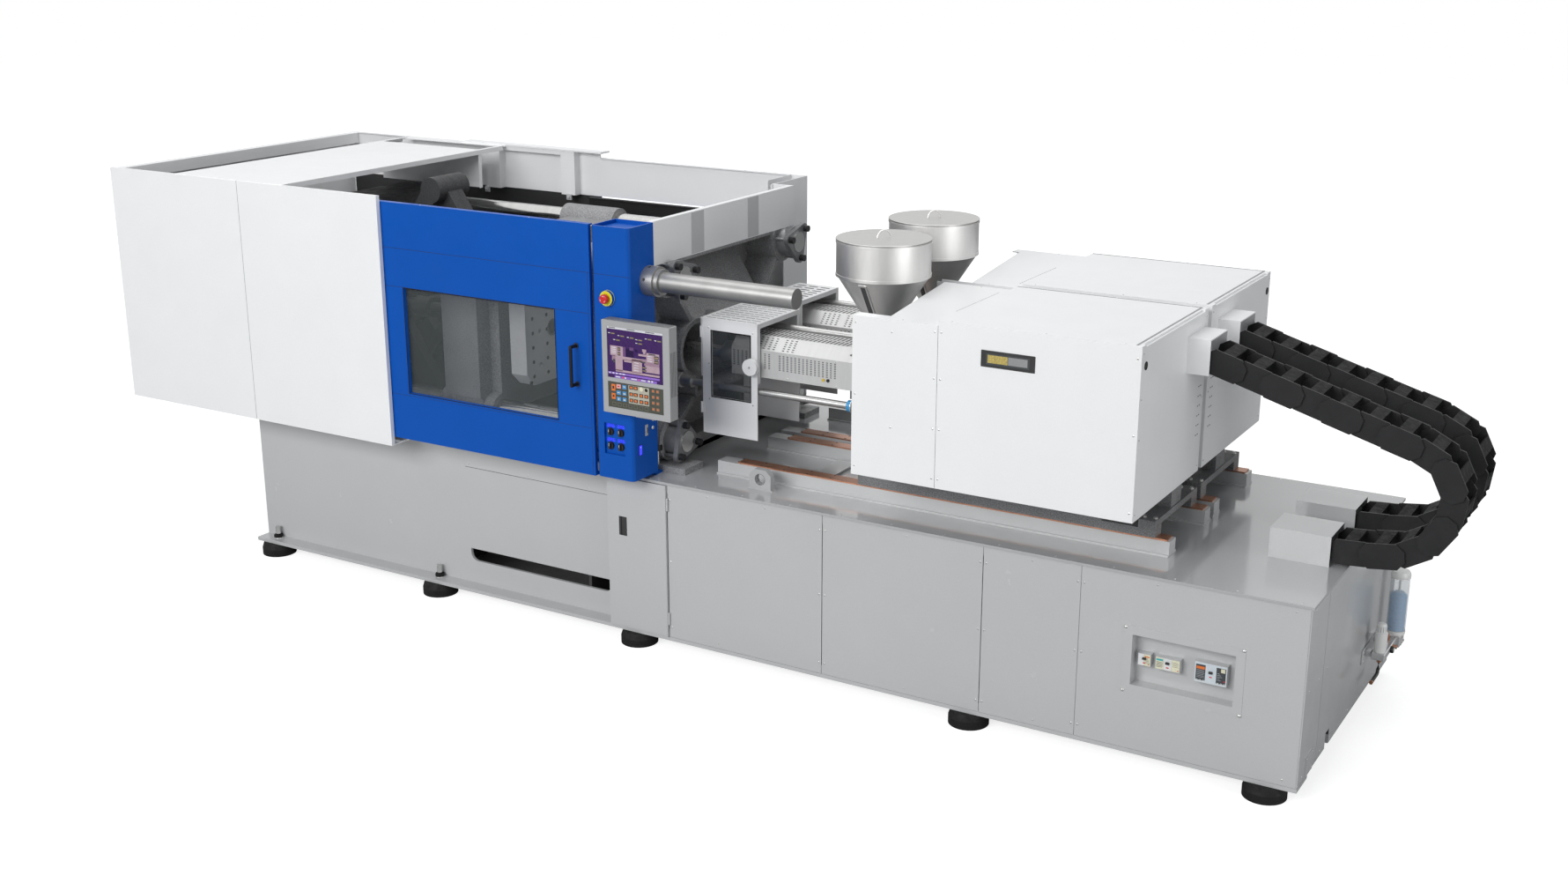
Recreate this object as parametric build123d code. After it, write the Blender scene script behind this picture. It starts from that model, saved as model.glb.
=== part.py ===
"""Two-shot injection moulding machine, in millimetres.

x runs to the injection end and is 0 at the right end of the base, y runs from the operator
side to the rear and is 0 at the front edge of the base, z is height above the floor. At the
end everything is moved so that the origin is at the bottom centre of the whole machine.
"""

import os
from math import acos, atan2, cos, degrees, radians, sin, sqrt

from build123d import *

os.makedirs("parts", exist_ok=True)

# Base
base_length = 5600.0
base_width = 1480.0
foot_height = 65.0
foot_radius = 88.0
foot_inset = 52.0
foot_places = (102.0, 0.2209 * base_length, 0.4414 * base_length, base_length - 1413.0, base_length - 135.0)
bolt_radius = 13.0
bolt_length = 62.0
flange_width = 150.0
flange_thick = 18.0
wall_inset = 78.0
wall_thick = 16.0
rail_width = 170.0
rail_thick = 28.0
bearing_height = 840.0
slot_start = 1431.0
slot_length = 866.0
slot_bottom = 200.0
slot_height = 64.0
slot_corner = 40.0

# Cabinet under the injection side
cabinet_length = 3250.0
post_size = 40.0
panel_thick = 3.0
panel_gap = 4.0
panel_seams = (cabinet_length - 330.0, 2108.0, 1346.0, 917.0)
end_seam = 261.0
door_length = 326.0
door_proud = 12.0
latch_length = 44.0
latch_height = 92.0
latch_level = 590.0
table_length = cabinet_length - 160.0
table_thick = 12.0
table_overhang = 8.0
lug_x = (-2552.0, -2441.0)
lug_y = (118.0, 1366.0)
lug_thick = 32.0
lug_height = 96.0
notch_place = 400.0
notch_width = 60.0
notch_height = 70.0

# Breaker recess
recess_place = (714.0, 250.0)
recess_levels = (342.0, 602.0)
mid_posts = ((panel_seams[0] + panel_seams[1]) / 2, 1727.0, recess_place[0] + 56.0, recess_place[1] - 20.0)
recess_border = 20.0
recess_depth = 58.0
recess_sheet = 2.0
breaker_places = (645.0, 549.0, 374.0)
breaker_sizes = ((52.0, 50.0), (100.0, 52.0), (130.0, 86.0))
breaker_depth = 34.0
lever_width = 14.0
lever_length = 22.0
lever_throw = 16.0

# Clamp unit
centre_y = 740.0
clamp_axis = bearing_height + 513.0
bar_pitch_y = 1016.0
bar_pitch_z = 770.0
bar_radius = 50.0
platen_face = -3450.0
platen_back = -3215.0
platen_rib = -3045.0
platen_half_width = 640.0
platen_half_height = 505.0
boss_radius = 118.0
nozzle_pitch = 570.0
nozzle_mouth = 120.0
nozzle_throat = 35.0
moving_face = -4052.0
moving_thick = 340.0
tail_face = -5200.0
tail_thick = 300.0
turntable_thick = 96.0
turntable_half_width = 495.0
turntable_half_height = 263.0
turntable_corner = 60.0
turntable_hub = 210.0
running_gap = 0.05
slide_gap = 0.3
shoe_width = 150.0

# Toggle
link_length = 550.0
link_gap = 1.0
lug_reach = 100.0
lug_half = 55.0
cheek_thick = 60.0
pin_radius = 35.0
eye_radius = 66.0
link_half = 50.0
pivot_offset = 120.0
knee_play = 11.5
cross_length = 330.0
cross_offset = 80.0
cross_share = 0.45
cross_pin = 26.0
cross_eye = 48.0
cross_play = 6.0

# Ejector and clamp drive
ejector_radius = 30.0
ejector_travel = 120.0
screw_radius = 32.0
guide_radius = 28.0
guide_offset = 250.0
motor_radius = 120.0

# Guards
sheet = 5.0
guard_bottom = bearing_height - 28.0
guard_top = bearing_height + 1197.0
guard_left = -6290.0
guard_right = -4443.0
guard_seam = -5367.0
guard_front = -146.0
guard_back = 1626.0
guard_lip = 26.0
rear_right = -3030.0
top_cover_left = -5810.0
top_cover_right = -5060.0
top_cover_back = 1350.0
rear_window_level = guard_top - 242.0
rear_post = 95.0

# Operator door
door_left = -4500.0
door_right = -3228.0
door_bottom = bearing_height + 13.0
door_top = guard_top - 28.0
door_front = -120.0
door_thick = 18.0
door_travel = 1100.0
track_left = door_left - door_travel - 60.0
window_left = -4330.0
window_right = -3432.0
window_bottom = door_bottom + 237.0
window_top = door_top - 405.0
pane_thick = 6.0
handle_x = -3314.0
handle_low = door_bottom + 414.0
handle_high = handle_low + 194.0
handle_proud = 44.0
handle_radius = 8.0

# Control tower
tower_left = -3218.0
tower_right = -3014.0
tower_bottom = bearing_height + 17.0
tower_top = door_top - 2.0
tower_depth = 190.0
tower_sheet = 8.0
tower_corner = 22.0
hmi_width = 358.0
hmi_height = 419.0
hmi_depth = 58.0
hmi_right = -2761.0
hmi_top = tower_top - 396.0
hmi_margin = 27.0
hmi_front = -190.0
stop_x = -3130.0
stop_z = tower_top - 316.0
stop_radius = 34.0
stop_travel = 6.0
knob_x = (-3144.0, -3088.0)
knob_z = (tower_bottom + 218.0, tower_bottom + 152.0)
knob_radius = 15.0
knob_recess = 12.0
front_bar_y = 24.0
front_bar_z = clamp_axis + 403.0
front_bar_end = -2252.0
front_bar_radius = 45.5

# Purge guards
purge_left = -2925.0
purge_right = -2619.0
purge_top = clamp_axis + 193.0
purge_bottom = clamp_axis - 349.0
purge_front = 300.0
purge_depth = 375.0
purge_right_second = -2702.0
purge_second = 820.0
purge_sheet = 4.0
purge_hole = 8.0

# Injection units
unit_y = (centre_y - nozzle_pitch / 2, centre_y + nozzle_pitch / 2)
unit_shift = (0.0, -40.0)
cover_left = -1921.0
cover_seam = -1534.0
cover_right = -689.0
cover_bottom = bearing_height + 232.0
cover_top = cover_bottom + 698.0
cover_step = 20.0
cover_sheet = 4.0
cover_y = ((-92.0, 690.0), (735.0, 1566.0))
cover_shoulder = -1830.0
barrel_radius = 58.0
barrel_tip = -3120.0
barrel_bore = 24.0
barrel_end = -1760.0
barrel_cover_left = -2775.0
barrel_cover_right = -2126.0
barrel_cover_half = 125.0
barrel_cover_top = clamp_axis + 127.0
barrel_cover_bottom = clamp_axis - 55.0
barrel_cover_chamfer = 55.0
carriage_left = -2063.0
carriage_right = -935.0
drive_x = -1330.0
hopper_x = -2068.0
hopper_top = clamp_axis + 607.0
hopper_radius = 207.0
hopper_straight = 150.0
hopper_cone_end = clamp_axis + 207.0
hopper_throat = 46.0
hopper_wall = 3.0
lid_thick = 8.0
screw_stroke = 160.0
bed_y = (272.0, 717.0, 842.0, 1307.0)
bed_width = 74.0
bed_left = -2794.0
bed_right = -642.0
bed_height = 62.0
strip_thick = 6.0
strip_inset = 105.0
rail_toe = 12.0
traverse_offset_y = 130.0
traverse_offset_z = 123.0
traverse_radius = 16.0

# Cable chains
chain_y = (455.0, 840.0)
chain_width = 185.0
chain_height = 104.0
chain_pitch = 121.5
chain_links = 14
chain_start = (-596.0, cover_top - 160.0)
chain_slope = -16.5
chain_bend = (187.0, 265.0)
chain_turn = (72.0, 88.0)
chain_plate = 9.0
chain_play = 0.3
hood_depth = 95.0
hood_levels = (cover_top - 220.0, cover_top - 73.0)
bracket_x = (-302.0, -59.0)
bracket_top = bearing_height + 126.0

# Lubrication unit
lube_x = 74.0
lube_y = 1212.0
lube_z = (314.0, 578.0)
lube_radius = 41.0
regulator_y = 990.0
regulator_radius = 26.0


def block(x, y, z):
    """Box between two values on each axis, in either order."""
    size = [abs(b - a) for a, b in (x, y, z)]
    middle = [(a + b) / 2 for a, b in (x, y, z)]
    return Pos(*middle) * Box(*size)


def rod(axis, span, across, radius):
    """Round bar along an axis, at the two coordinates across it."""
    turn = {"x": Rot(0, 90, 0), "y": Rot(90, 0, 0), "z": Rot(0, 0, 0)}[axis]
    middle = (span[0] + span[1]) / 2
    place = list(across)
    place.insert("xyz".index(axis), middle)
    return Pos(*place) * turn * Cylinder(radius, abs(span[1] - span[0]))


def bar_hex(axis, span, across, radius):
    """Six-sided bar along an axis, sized over its corners."""
    turn = {"x": Rot(0, 90, 0), "y": Rot(90, 0, 0), "z": Rot(0, 0, 0)}[axis]
    middle = (span[0] + span[1]) / 2
    place = list(across)
    place.insert("xyz".index(axis), middle)
    half = abs(span[1] - span[0]) / 2
    return Pos(*place) * turn * extrude(RegularPolygon(radius, 6), half, both=True)


def outline(points, plane, thick):
    """Closed outline in a plane through the origin, extruded along the plane's normal."""
    face = make_face(Polyline(*points, close=True))
    return extrude(plane * face, thick)


def in_xz(points, y0, y1):
    """Outline in x and z, filled from y0 to y1."""
    plane = Plane(origin=(0, y1, 0), x_dir=(1, 0, 0), z_dir=(0, -1, 0))
    return outline(points, plane, y1 - y0)


def in_yz(points, x0, x1):
    """Outline in y and z, filled from x0 to x1."""
    plane = Plane(origin=(x0, 0, 0), x_dir=(0, 1, 0), z_dir=(1, 0, 0))
    return outline(points, plane, x1 - x0)


def in_xy(points, z0, z1):
    """Outline in x and y, filled from z0 to z1."""
    plane = Plane(origin=(0, 0, z0), x_dir=(1, 0, 0), z_dir=(0, 0, 1))
    return outline(points, plane, z1 - z0)


def mirrored(shape):
    """The same shape on the other side of the machine's centre plane."""
    return mirror(shape, Plane(origin=(0, centre_y, 0), x_dir=(1, 0, 0), z_dir=(0, 1, 0)))


def both_sides(shape):
    """A list with the shape and its mirror image."""
    return [shape, mirrored(shape)]


nodes = {}


def keep(name, *shapes):
    """Stores a node as the list of its separate solids."""
    solids = []
    for shape in shapes:
        solids.extend(shape.solids())
    nodes[name] = solids


def nut_places(y0):
    """Where the two traverse screws of a unit run, in y and z."""
    low = (y0 - traverse_offset_y, clamp_axis - traverse_offset_z)
    high = (y0 + traverse_offset_y, clamp_axis + traverse_offset_z)
    return (low, high)


flange_top = foot_height + flange_thick
table_top = bearing_height
table_under = table_top - table_thick
base_left = -base_length
cabinet_left = -cabinet_length
table_left = -table_length
wall_out = wall_inset
wall_in = wall_inset + wall_thick
far = base_width
tower_back = door_front + tower_depth
platen_top = clamp_axis + platen_half_height
bar_y = (centre_y - bar_pitch_y / 2, centre_y + bar_pitch_y / 2)
bar_z = (clamp_axis - bar_pitch_z / 2, clamp_axis + bar_pitch_z / 2)
bar_places = [(y, z) for y in bar_y for z in bar_z]
moving_back = moving_face - moving_thick
tail_back = tail_face - tail_thick


# Base frame, a weldment: flanges, side walls, rails, beams, cross walls and floor ties
def base_frame():
    low = block((base_left, 0.0), (0, flange_width), (foot_height, flange_top))
    for place in foot_places:
        low -= rod("z", (foot_height - 5, flange_top + 5), (base_left + place, foot_inset), bolt_radius + 1)
    left_x = (base_left + 2, table_left)
    right_x = (table_left, -post_size)
    wall = block(left_x, (wall_out, wall_in), (flange_top, bearing_height))
    slot_x = (base_left + slot_start, base_left + slot_start + slot_length)
    slot = block(slot_x, (wall_out - 5, wall_in + 5), (slot_bottom, slot_bottom + slot_height))
    wall -= fillet(slot.edges().filter_by(Axis.Y).group_by(Axis.Z)[0], slot_corner)
    wall_right = block(right_x, (wall_out, wall_in), (flange_top, table_under))
    rail_y = (wall_in, wall_out + rail_width)
    rail = block(left_x, rail_y, (bearing_height - rail_thick, bearing_height))
    beam = block(right_x, rail_y, (table_under - rail_thick, table_under))
    frame = []
    for plate in (low, wall, wall_right, rail, beam):
        frame += both_sides(plate)
    members = [base_left + 2, tail_face - tail_thick, moving_face - moving_thick, platen_face]
    members += [table_left + 1000, -post_size - wall_thick]
    for place in members:
        top = bearing_height - rail_thick if place < table_left else table_under - rail_thick
        cross = block((place, place + wall_thick), (wall_in, far - wall_in), (flange_top, top))
        frame.append(cross - cable_notch())
    for place in (base_left, slot_x[1], -2 * flange_width):
        tie_y = (flange_width, far - flange_width)
        frame.append(block((place, place + flange_width), tie_y, (foot_height, flange_top)))
    return frame


# Levelling feet: a round pad and a bolt with its nut at each foot
def levelling_feet():
    pieces = []
    for place in foot_places:
        for y in (foot_inset, far - foot_inset):
            at = (base_left + place, y)
            lower = 0.55 * foot_height
            pad = rod("z", (0, lower), at, foot_radius)
            pad += Pos(at[0], at[1], (lower + foot_height) / 2) * Cone(
                foot_radius, foot_radius - 10, foot_height - lower
            )
            stem = rod("z", (foot_height, flange_top + bolt_length), at, bolt_radius)
            stem += bar_hex("z", (flange_top, flange_top + 18), at, 24)
            pieces += [pad, stem]
    return pieces


# Cabinet frame: posts and rails that carry the panels, outside the base walls
def base_cabinet():
    x = (cabinet_left, 0.0)
    depth = (panel_thick, wall_out)
    z = (flange_top, table_under)
    low = block(x, depth, (z[0], z[0] + post_size))
    high = block(x, depth, (z[1] - post_size, z[1]))
    side = low + high
    for seam in (cabinet_length,) + panel_seams + (post_size,):
        side += block((-seam, -seam + post_size), depth, z)
    side += block((-panel_seams[3] - post_size / 2, -panel_seams[3] + post_size), depth, z)
    for place in mid_posts:
        side += block((-place, -place + post_size), depth, z)
    clear_x = (-recess_place[0] + 2, -recess_place[1] - 2)
    side -= block(clear_x, (0, wall_out), recess_levels)
    frame = side + mirrored(side)
    end_x = (-post_size, -panel_thick)
    inner = (wall_out, far - wall_out)
    frame += block(end_x, inner, (z[0], z[0] + post_size))
    frame += block(end_x, inner, (z[1] - post_size, z[1]))
    for place in (end_seam, end_seam + 420, end_seam + 800):
        frame += block(end_x, (place - post_size / 2, place + post_size / 2), z)
    frame -= cable_notch()
    frame -= block((-panel_thick, 1), (-1, far + 1), (0, table_top))
    for place in foot_places:
        for y in (foot_inset, far - foot_inset):
            frame -= rod("z", (flange_top - 1, flange_top + bolt_length + 8), (base_left + place, y), 30)
    return frame


def cable_notch():
    """Cable exit through the right end of the base."""
    y = (notch_place, notch_place + notch_width)
    return block((-post_size - wall_thick - 4, 5), y, (flange_top, flange_top + notch_height))


# Table plate over the cabinet, with a welded lifting lug at each side
def table_plate():
    over = table_overhang
    plate = block((table_left, over), (-over, far + over), (table_under, table_top))
    for y in lug_y:
        span_y = (y, y + lug_thick)
        lug = block(lug_x, span_y, (table_top, table_top + lug_height))
        lug = chamfer(lug.edges().filter_by(Axis.Y).group_by(Axis.Z)[-1], 26)
        middle = (lug_x[0] + lug_x[1]) / 2
        lug -= rod("y", (y - 1, y + lug_thick + 1), (middle, table_top + 50), 25)
        foot = [(lug_x[0] - 10, table_top), (lug_x[1] + 10, table_top)]
        foot += [(lug_x[1], table_top + 10), (lug_x[0], table_top + 10)]
        plate += lug + in_xz(foot, *span_y)
    return plate


# Removable panels, screwed to the cabinet frame and to its right end
def base_panels():
    z = (flange_top + 2, table_under - 1)
    panels = []
    edges = list(panel_seams) + [panel_thick]
    for left, right in zip(edges, edges[1:]):
        x = (-left + panel_gap / 2, -right - panel_gap / 2)
        panel = block(x, (0, panel_thick), z)
        if left == panel_seams[3]:
            hole = (-recess_place[0] + 1, -recess_place[1] - 1)
            levels = (recess_levels[0] + 1, recess_levels[1] - 1)
            panels.append(panel - block(hole, (-1, panel_thick + 1), levels))
            panels.append(mirrored(panel))
        else:
            panels += both_sides(panel)
    rear_door = block((cabinet_left + 2, -panel_seams[0] - panel_gap / 2), (0, panel_thick), z)
    panels.append(mirrored(rear_door))
    first = block((-panel_thick, 0), (panel_thick, end_seam - panel_gap / 2), z)
    second = block((-panel_thick, 0), (end_seam + panel_gap / 2, far - panel_thick), z)
    second -= cable_notch()
    cover = block((0, 4), (100, 200), (flange_top + 6, flange_top + 92))
    return panels + [first, second, cover] + chain_brackets()


# Sheet brackets on the table that hold the lower ends of the cable chains
def chain_brackets():
    brackets = []
    t = panel_thick
    for y in chain_y:
        out = (y - 6 - t, y + chain_width + 6 + t)
        shell = block(bracket_x, out, (table_top, bracket_top))
        inner = (bracket_x[0] + t, bracket_x[1] + 1)
        shell -= block(inner, (out[0] + t, out[1] - t), (table_top - 1, bracket_top - t))
        brackets.append(shell)
    return brackets


# Side door at the left end of the cabinet
def cabinet_door():
    x = (cabinet_left + 2, cabinet_left + 2 + door_length)
    z = (flange_top + 4, table_under - 3)
    sheet_y = (-door_proud, panel_thick - slide_gap)
    door = block(x, sheet_y, z)
    cup_x = (x[0] + 64, x[0] + 64 + latch_length)
    cup_z = (latch_level - latch_height / 2, latch_level + latch_height / 2)
    cup = block(cup_x, (sheet_y[0], sheet_y[0] + 7), cup_z)
    door -= cup
    latch_z = (cup_z[0] + 1, cup_z[1] - 1)
    latch = block((cup_x[0] + 1, cup_x[1] - 1), (sheet_y[0] + 3, sheet_y[0] + 7), latch_z)
    lip = block((cup_x[0] + 1, cup_x[0] + 11), (sheet_y[0], sheet_y[0] + 3), (cup_z[0] + 1, cup_z[1] - 1))
    pin = (x[1] + 5, sheet_y[0] + 6)
    hinge = []
    for level in (z[0] + 90, z[1] - 90):
        hinge.append(rod("z", (level - 30, level + 30), pin, 5))
    door += hinge[0] + hinge[1]
    for levels in ((z[0] + 60, z[0] + 120), (z[1] - 120, z[1] - 60)):
        door += block((x[1] - 2, pin[0]), (pin[1] - 3, pin[1] + 2), levels)
    return [door, latch + lip]


# Breaker recess in the front panel, with three breakers
def breaker_box():
    x = (-recess_place[0], -recess_place[1])
    z = recess_levels
    s = recess_sheet
    rim = block((x[0] - 14, x[1] + 14), (-s, 0), (z[0] - 14, z[1] + 14))
    deep = (0, recess_depth)
    tray_x = (x[0] + recess_border + 1, x[1] - recess_border - 1)
    tray_z = (z[0] + recess_border + 1, z[1] - recess_border - 1)
    tray = block(tray_x, deep, tray_z)
    hollow = block(
        (tray_x[0] + s, tray_x[1] - s), (-s - 1, recess_depth - s), (tray_z[0] + s, tray_z[1] - s)
    )
    pieces = [rim + tray - hollow]
    middle = (z[0] + z[1]) / 2
    for place, (wide, high) in zip(breaker_places, breaker_sizes):
        bx = (-place - wide / 2, -place + wide / 2)
        by = (recess_depth - s - breaker_depth, recess_depth - s)
        body = block(bx, by, (middle - high / 2, middle + high / 2))
        slot_z = (middle - lever_throw, middle + lever_throw)
        slot_x = (-place - lever_width / 2 - 1, -place + lever_width / 2 + 1)
        body -= block(slot_x, (by[0] - 1, by[0] + 14), slot_z)
        pieces.append(body)
    return pieces


# One breaker lever, which rocks about a pin across the breaker
def breaker_lever(index):
    place = breaker_places[index]
    middle = (recess_levels[0] + recess_levels[1]) / 2
    front = recess_depth - recess_sheet - breaker_depth
    x = (-place - lever_width / 2, -place + lever_width / 2)
    tip = front - 9
    pivot = front + 8
    lever = block(x, (tip, pivot), (middle + 3, middle + 11))
    lever += rod("x", x, (pivot, middle), 5)
    lever += block(x, (pivot - 4, pivot), (middle, middle + 9))
    axle = rod("x", (x[0] - 1, x[1] + 1), (pivot, middle), 2)
    return lever + axle


# Fixed platen: plate, corner bosses, arms that run into a raised frame, and nozzle mouths
def fixed_platen():
    hw, hh = platen_half_width, platen_half_height
    y = (centre_y - hw, centre_y + hw)
    z = (clamp_axis - hh, clamp_axis + hh)
    plate = block((platen_face, platen_back), y, z)
    plate = fillet(plate.edges().filter_by(Axis.X), 110)
    hub_y = (centre_y - 312, centre_y + 312)
    hub_z = (clamp_axis - 236, clamp_axis + 127)
    rib = 24.0
    hub = block((platen_back, platen_rib), hub_y, hub_z)
    hub = fillet(hub.edges().filter_by(Axis.X), 30)
    well_y = (hub_y[0] + rib, hub_y[1] - rib)
    hub -= block((platen_back + 60, platen_rib + 1), well_y, (hub_z[0] + rib, hub_z[1] - rib))
    for y0 in unit_y:
        mouth = Pos((platen_back + platen_rib) / 2, y0, clamp_axis) * Rot(0, 90, 0)
        hub += mouth * Cylinder(nozzle_mouth + 22, platen_rib - platen_back)
    body = plate + hub
    for by, bz in bar_places:
        corner_y = hub_y[0] if by < centre_y else hub_y[1]
        corner_z = hub_z[0] if bz < clamp_axis else hub_z[1]
        reach = atan2(bz - corner_z, by - corner_y)
        across = (-sin(reach) * rib / 2, cos(reach) * rib / 2)
        arm = [
            (corner_y - across[0], corner_z - across[1]),
            (by - across[0], bz - across[1]),
            (by + across[0], bz + across[1]),
            (corner_y + across[0], corner_z + across[1]),
        ]
        body += in_yz(arm, platen_back, platen_rib - 6)
        boss = Pos((platen_back + platen_rib) / 2, by, bz) * Rot(0, 90, 0)
        body += boss * Cylinder(boss_radius - 16, platen_rib - platen_back)
    beam_y = (bar_y[0] + boss_radius - 40, bar_y[1] - boss_radius + 40)
    top_z = (z[1] - 78, z[1] - 18)
    body += block((platen_back, platen_rib - 20), beam_y, top_z)
    slope = [(platen_back, top_z[0] - 40), (platen_back, hub_z[1] - 6), (platen_rib - 6, hub_z[1] - 6)]
    body += in_xz(slope, hub_y[0] + 6, hub_y[1] - 6)
    body += block((platen_back, platen_rib - 40), beam_y, (z[0] + 18, z[0] + 70))
    for by, bz in bar_places:
        body -= rod("x", (platen_face - 1, platen_rib + 1), (by, bz), bar_radius + running_gap)
    for y0 in unit_y:
        length = platen_rib - platen_face - 60
        cone = Cone(nozzle_throat, nozzle_mouth, length)
        body -= Pos(platen_face + 60 + length / 2, y0, clamp_axis) * Rot(0, 90, 0) * cone
        body -= rod("x", (platen_face - 1, platen_face + 61), (y0, clamp_axis), nozzle_throat)
        body -= rod("x", (platen_rib - 1, platen_rib + 10), (y0, clamp_axis), nozzle_mouth)
    for y0 in unit_y:
        for place in nut_places(y0):
            body += rod("x", (platen_back, platen_rib), place, 36)
    shoe_z = (bearing_height, z[0] + 30)
    for y0 in (centre_y - hw + 20, centre_y + hw - 20 - shoe_width):
        body += block((platen_face, platen_back), (y0, y0 + shoe_width), shoe_z)
        shoe_z = (bearing_height, bearing_height + 30)
        body += block((platen_face + 90, -2900.0), (y0, y0 + shoe_width), shoe_z)
    return [body]


# Tie bars, and the separate round bar that stands out at the front of the control tower
def tie_bars():
    left = tail_back - 130
    right = platen_rib + 90
    bars = [rod("x", (left, right), place, bar_radius) for place in bar_places]
    at = (front_bar_y, front_bar_z)
    bar = rod("x", (tower_right, front_bar_end), at, front_bar_radius)
    ring = rod("x", (tower_right, tower_right + 62), at, 68)
    ring += rod("x", (tower_right + 62, tower_right + 84), at, 58)
    ring -= rod("x", (tower_right - 1, tower_right + 90), at, front_bar_radius)
    for turn in range(0, 360, 60):
        angle = radians(turn + 15)
        hole = rod("z", (50, 80), (tower_right + 22, 0), 7)
        ring -= Pos(0, at[0], at[1]) * Rot(degrees(angle), 0, 0) * hole
    return bars + [bar, ring]


# Nuts and clamp plates that hold the tie bars in the fixed platen
def tie_bar_nuts():
    pieces = []
    plate_x = (platen_rib + 62, platen_rib + 84)
    bolt_circle = 85.0
    for by, bz in bar_places:
        out_y = -1 if by < centre_y else 1
        out_z = -1 if bz < clamp_axis else 1
        nut = rod("x", (platen_rib, plate_x[0]), (by, bz), 74)
        nut -= rod("x", (platen_rib - 1, plate_x[0] + 1), (by, bz), bar_radius)
        corners = []
        for turn in (45, 165, -75):
            angle = radians(turn)
            corners.append((by + out_y * bolt_circle * cos(angle), bz + out_z * bolt_circle * sin(angle)))
        order = corners if out_y * out_z > 0 else corners[::-1]
        plate = offset(make_face(Polyline(*order, close=True)), 26)
        lift = Plane(origin=(plate_x[0], 0, 0), x_dir=(0, 1, 0), z_dir=(1, 0, 0))
        plate = extrude(lift * plate, plate_x[1] - plate_x[0])
        plate -= rod("x", (plate_x[0] - 1, plate_x[1] + 1), (by, bz), bar_radius)
        pieces += [nut, plate]
        for cy, cz in corners:
            shank = rod("x", (platen_rib, plate_x[1]), (cy, cz), 8)
            pieces[-1] -= rod("x", (plate_x[0] - 1, plate_x[1] + 1), (cy, cz), 8)
            pieces[-2] -= rod("x", (platen_rib - 1, plate_x[1] + 1), (cy, cz), 8.2)
            head = rod("x", (plate_x[1], plate_x[1] + 24), (cy, cz), 16)
            pieces.append(shank + head)
    return pieces


# Pivots of the upper toggle seen from the side; the lower toggle mirrors them
rear_pivot = tail_face + lug_reach
front_pivot = moving_back - lug_reach
fold = acos((front_pivot - rear_pivot) / (2 * link_length))
reach_x = link_length * cos(fold)
reach_z = link_length * sin(fold)


def pivots(level):
    """Rear, knee, front, middle and crosshead pivots in x and z, for level 1 or -1."""
    z0 = clamp_axis + level * pivot_offset
    rear = (rear_pivot, z0)
    knee = (rear_pivot + reach_x, z0 + level * reach_z)
    front = (front_pivot, z0)
    mid = (rear[0] + cross_share * reach_x, z0 + level * cross_share * reach_z)
    cross_z = clamp_axis + level * cross_offset
    drop = abs(mid[1] - cross_z)
    cross = (mid[0] + sqrt(cross_length**2 - drop**2), cross_z)
    return rear, knee, front, mid, cross


def link_bar(a, b, y, half):
    """Straight bar between two pivots in x and z, filled over a span in y."""
    angle = atan2(b[1] - a[1], b[0] - a[0])
    n = (-sin(angle) * half, cos(angle) * half)
    points = [
        (a[0] - n[0], a[1] - n[1]),
        (b[0] - n[0], b[1] - n[1]),
        (b[0] + n[0], b[1] + n[1]),
        (a[0] + n[0], a[1] + n[1]),
    ]
    return in_xz(points, y[0], y[1])


def span(half):
    """Values of y at equal distances on both sides of the centre plane."""
    return (centre_y - half, centre_y + half)


def cheeks(inner, outer):
    """The two spans in y between an inner and an outer distance from the centre plane."""
    return ((centre_y - outer, centre_y - inner), (centre_y + inner, centre_y + outer))


cheek_inner = lug_half + link_gap
cheek_outer = cheek_inner + cheek_thick


# Tail platen: carries the toggles, the screw, the crosshead guides and the motor
def tail_platen():
    hw, hh = platen_half_width - 60, platen_half_height - 10
    y = span(hw)
    z = (clamp_axis - hh, clamp_axis + hh)
    body = block((tail_back, tail_face), y, z)
    body = fillet(body.edges().filter_by(Axis.X), 110)
    pocket_y = (y[0] + 210, y[1] - 210)
    body -= block((tail_back - 1, tail_face - 60), pocket_y, (z[1] - 240, z[1] - 60))
    body -= block((tail_back - 1, tail_face - 60), pocket_y, (z[0] + 60, z[0] + 240))
    pins = []
    for level in (-1, 1):
        rear = pivots(level)[0]
        ear = block((tail_face, rear[0]), span(lug_half), (rear[1] - eye_radius, rear[1] + eye_radius))
        ear += rod("y", span(lug_half), rear, eye_radius)
        body += ear - rod("y", span(lug_half + 1), rear, pin_radius + running_gap)
        pins.append(rod("y", span(cheek_outer), rear, pin_radius))
    body -= rod("x", (tail_back - 1, tail_face + 1), (centre_y, clamp_axis), screw_radius + 18)
    for y0 in span(hw - shoe_width / 2):
        shoe_y = (y0 - shoe_width / 2, y0 + shoe_width / 2)
        body += block((tail_back, tail_face), shoe_y, (bearing_height, z[0] + 120))
    for place in bar_places:
        body -= rod("x", (tail_back - 1, tail_face + 1), place, bar_radius + running_gap)
    for dy in (-guide_offset, guide_offset):
        axis = (centre_y + dy, clamp_axis)
        body -= rod("x", (tail_back + 40, tail_face + 1), axis, guide_radius + running_gap)
    pieces = [body] + pins
    for place in bar_places:
        nut = bar_hex("x", (tail_back - 90, tail_back), place, 96)
        pieces.append(nut - rod("x", (tail_back - 91, tail_back + 1), place, bar_radius + running_gap))
    for dy in (-guide_offset, guide_offset):
        pieces.append(rod("x", (tail_back + 40, -4545.0), (centre_y + dy, clamp_axis), guide_radius))
    housing = block((tail_back - 130, tail_back), span(150), (clamp_axis - 150, clamp_axis + 150))
    housing -= rod("x", (tail_back - 131, tail_back + 1), (centre_y, clamp_axis), screw_radius + 18)
    motor = rod("x", (tail_back - 470, tail_back - 130), (centre_y, clamp_axis), motor_radius)
    return pieces + [housing, motor]


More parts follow.
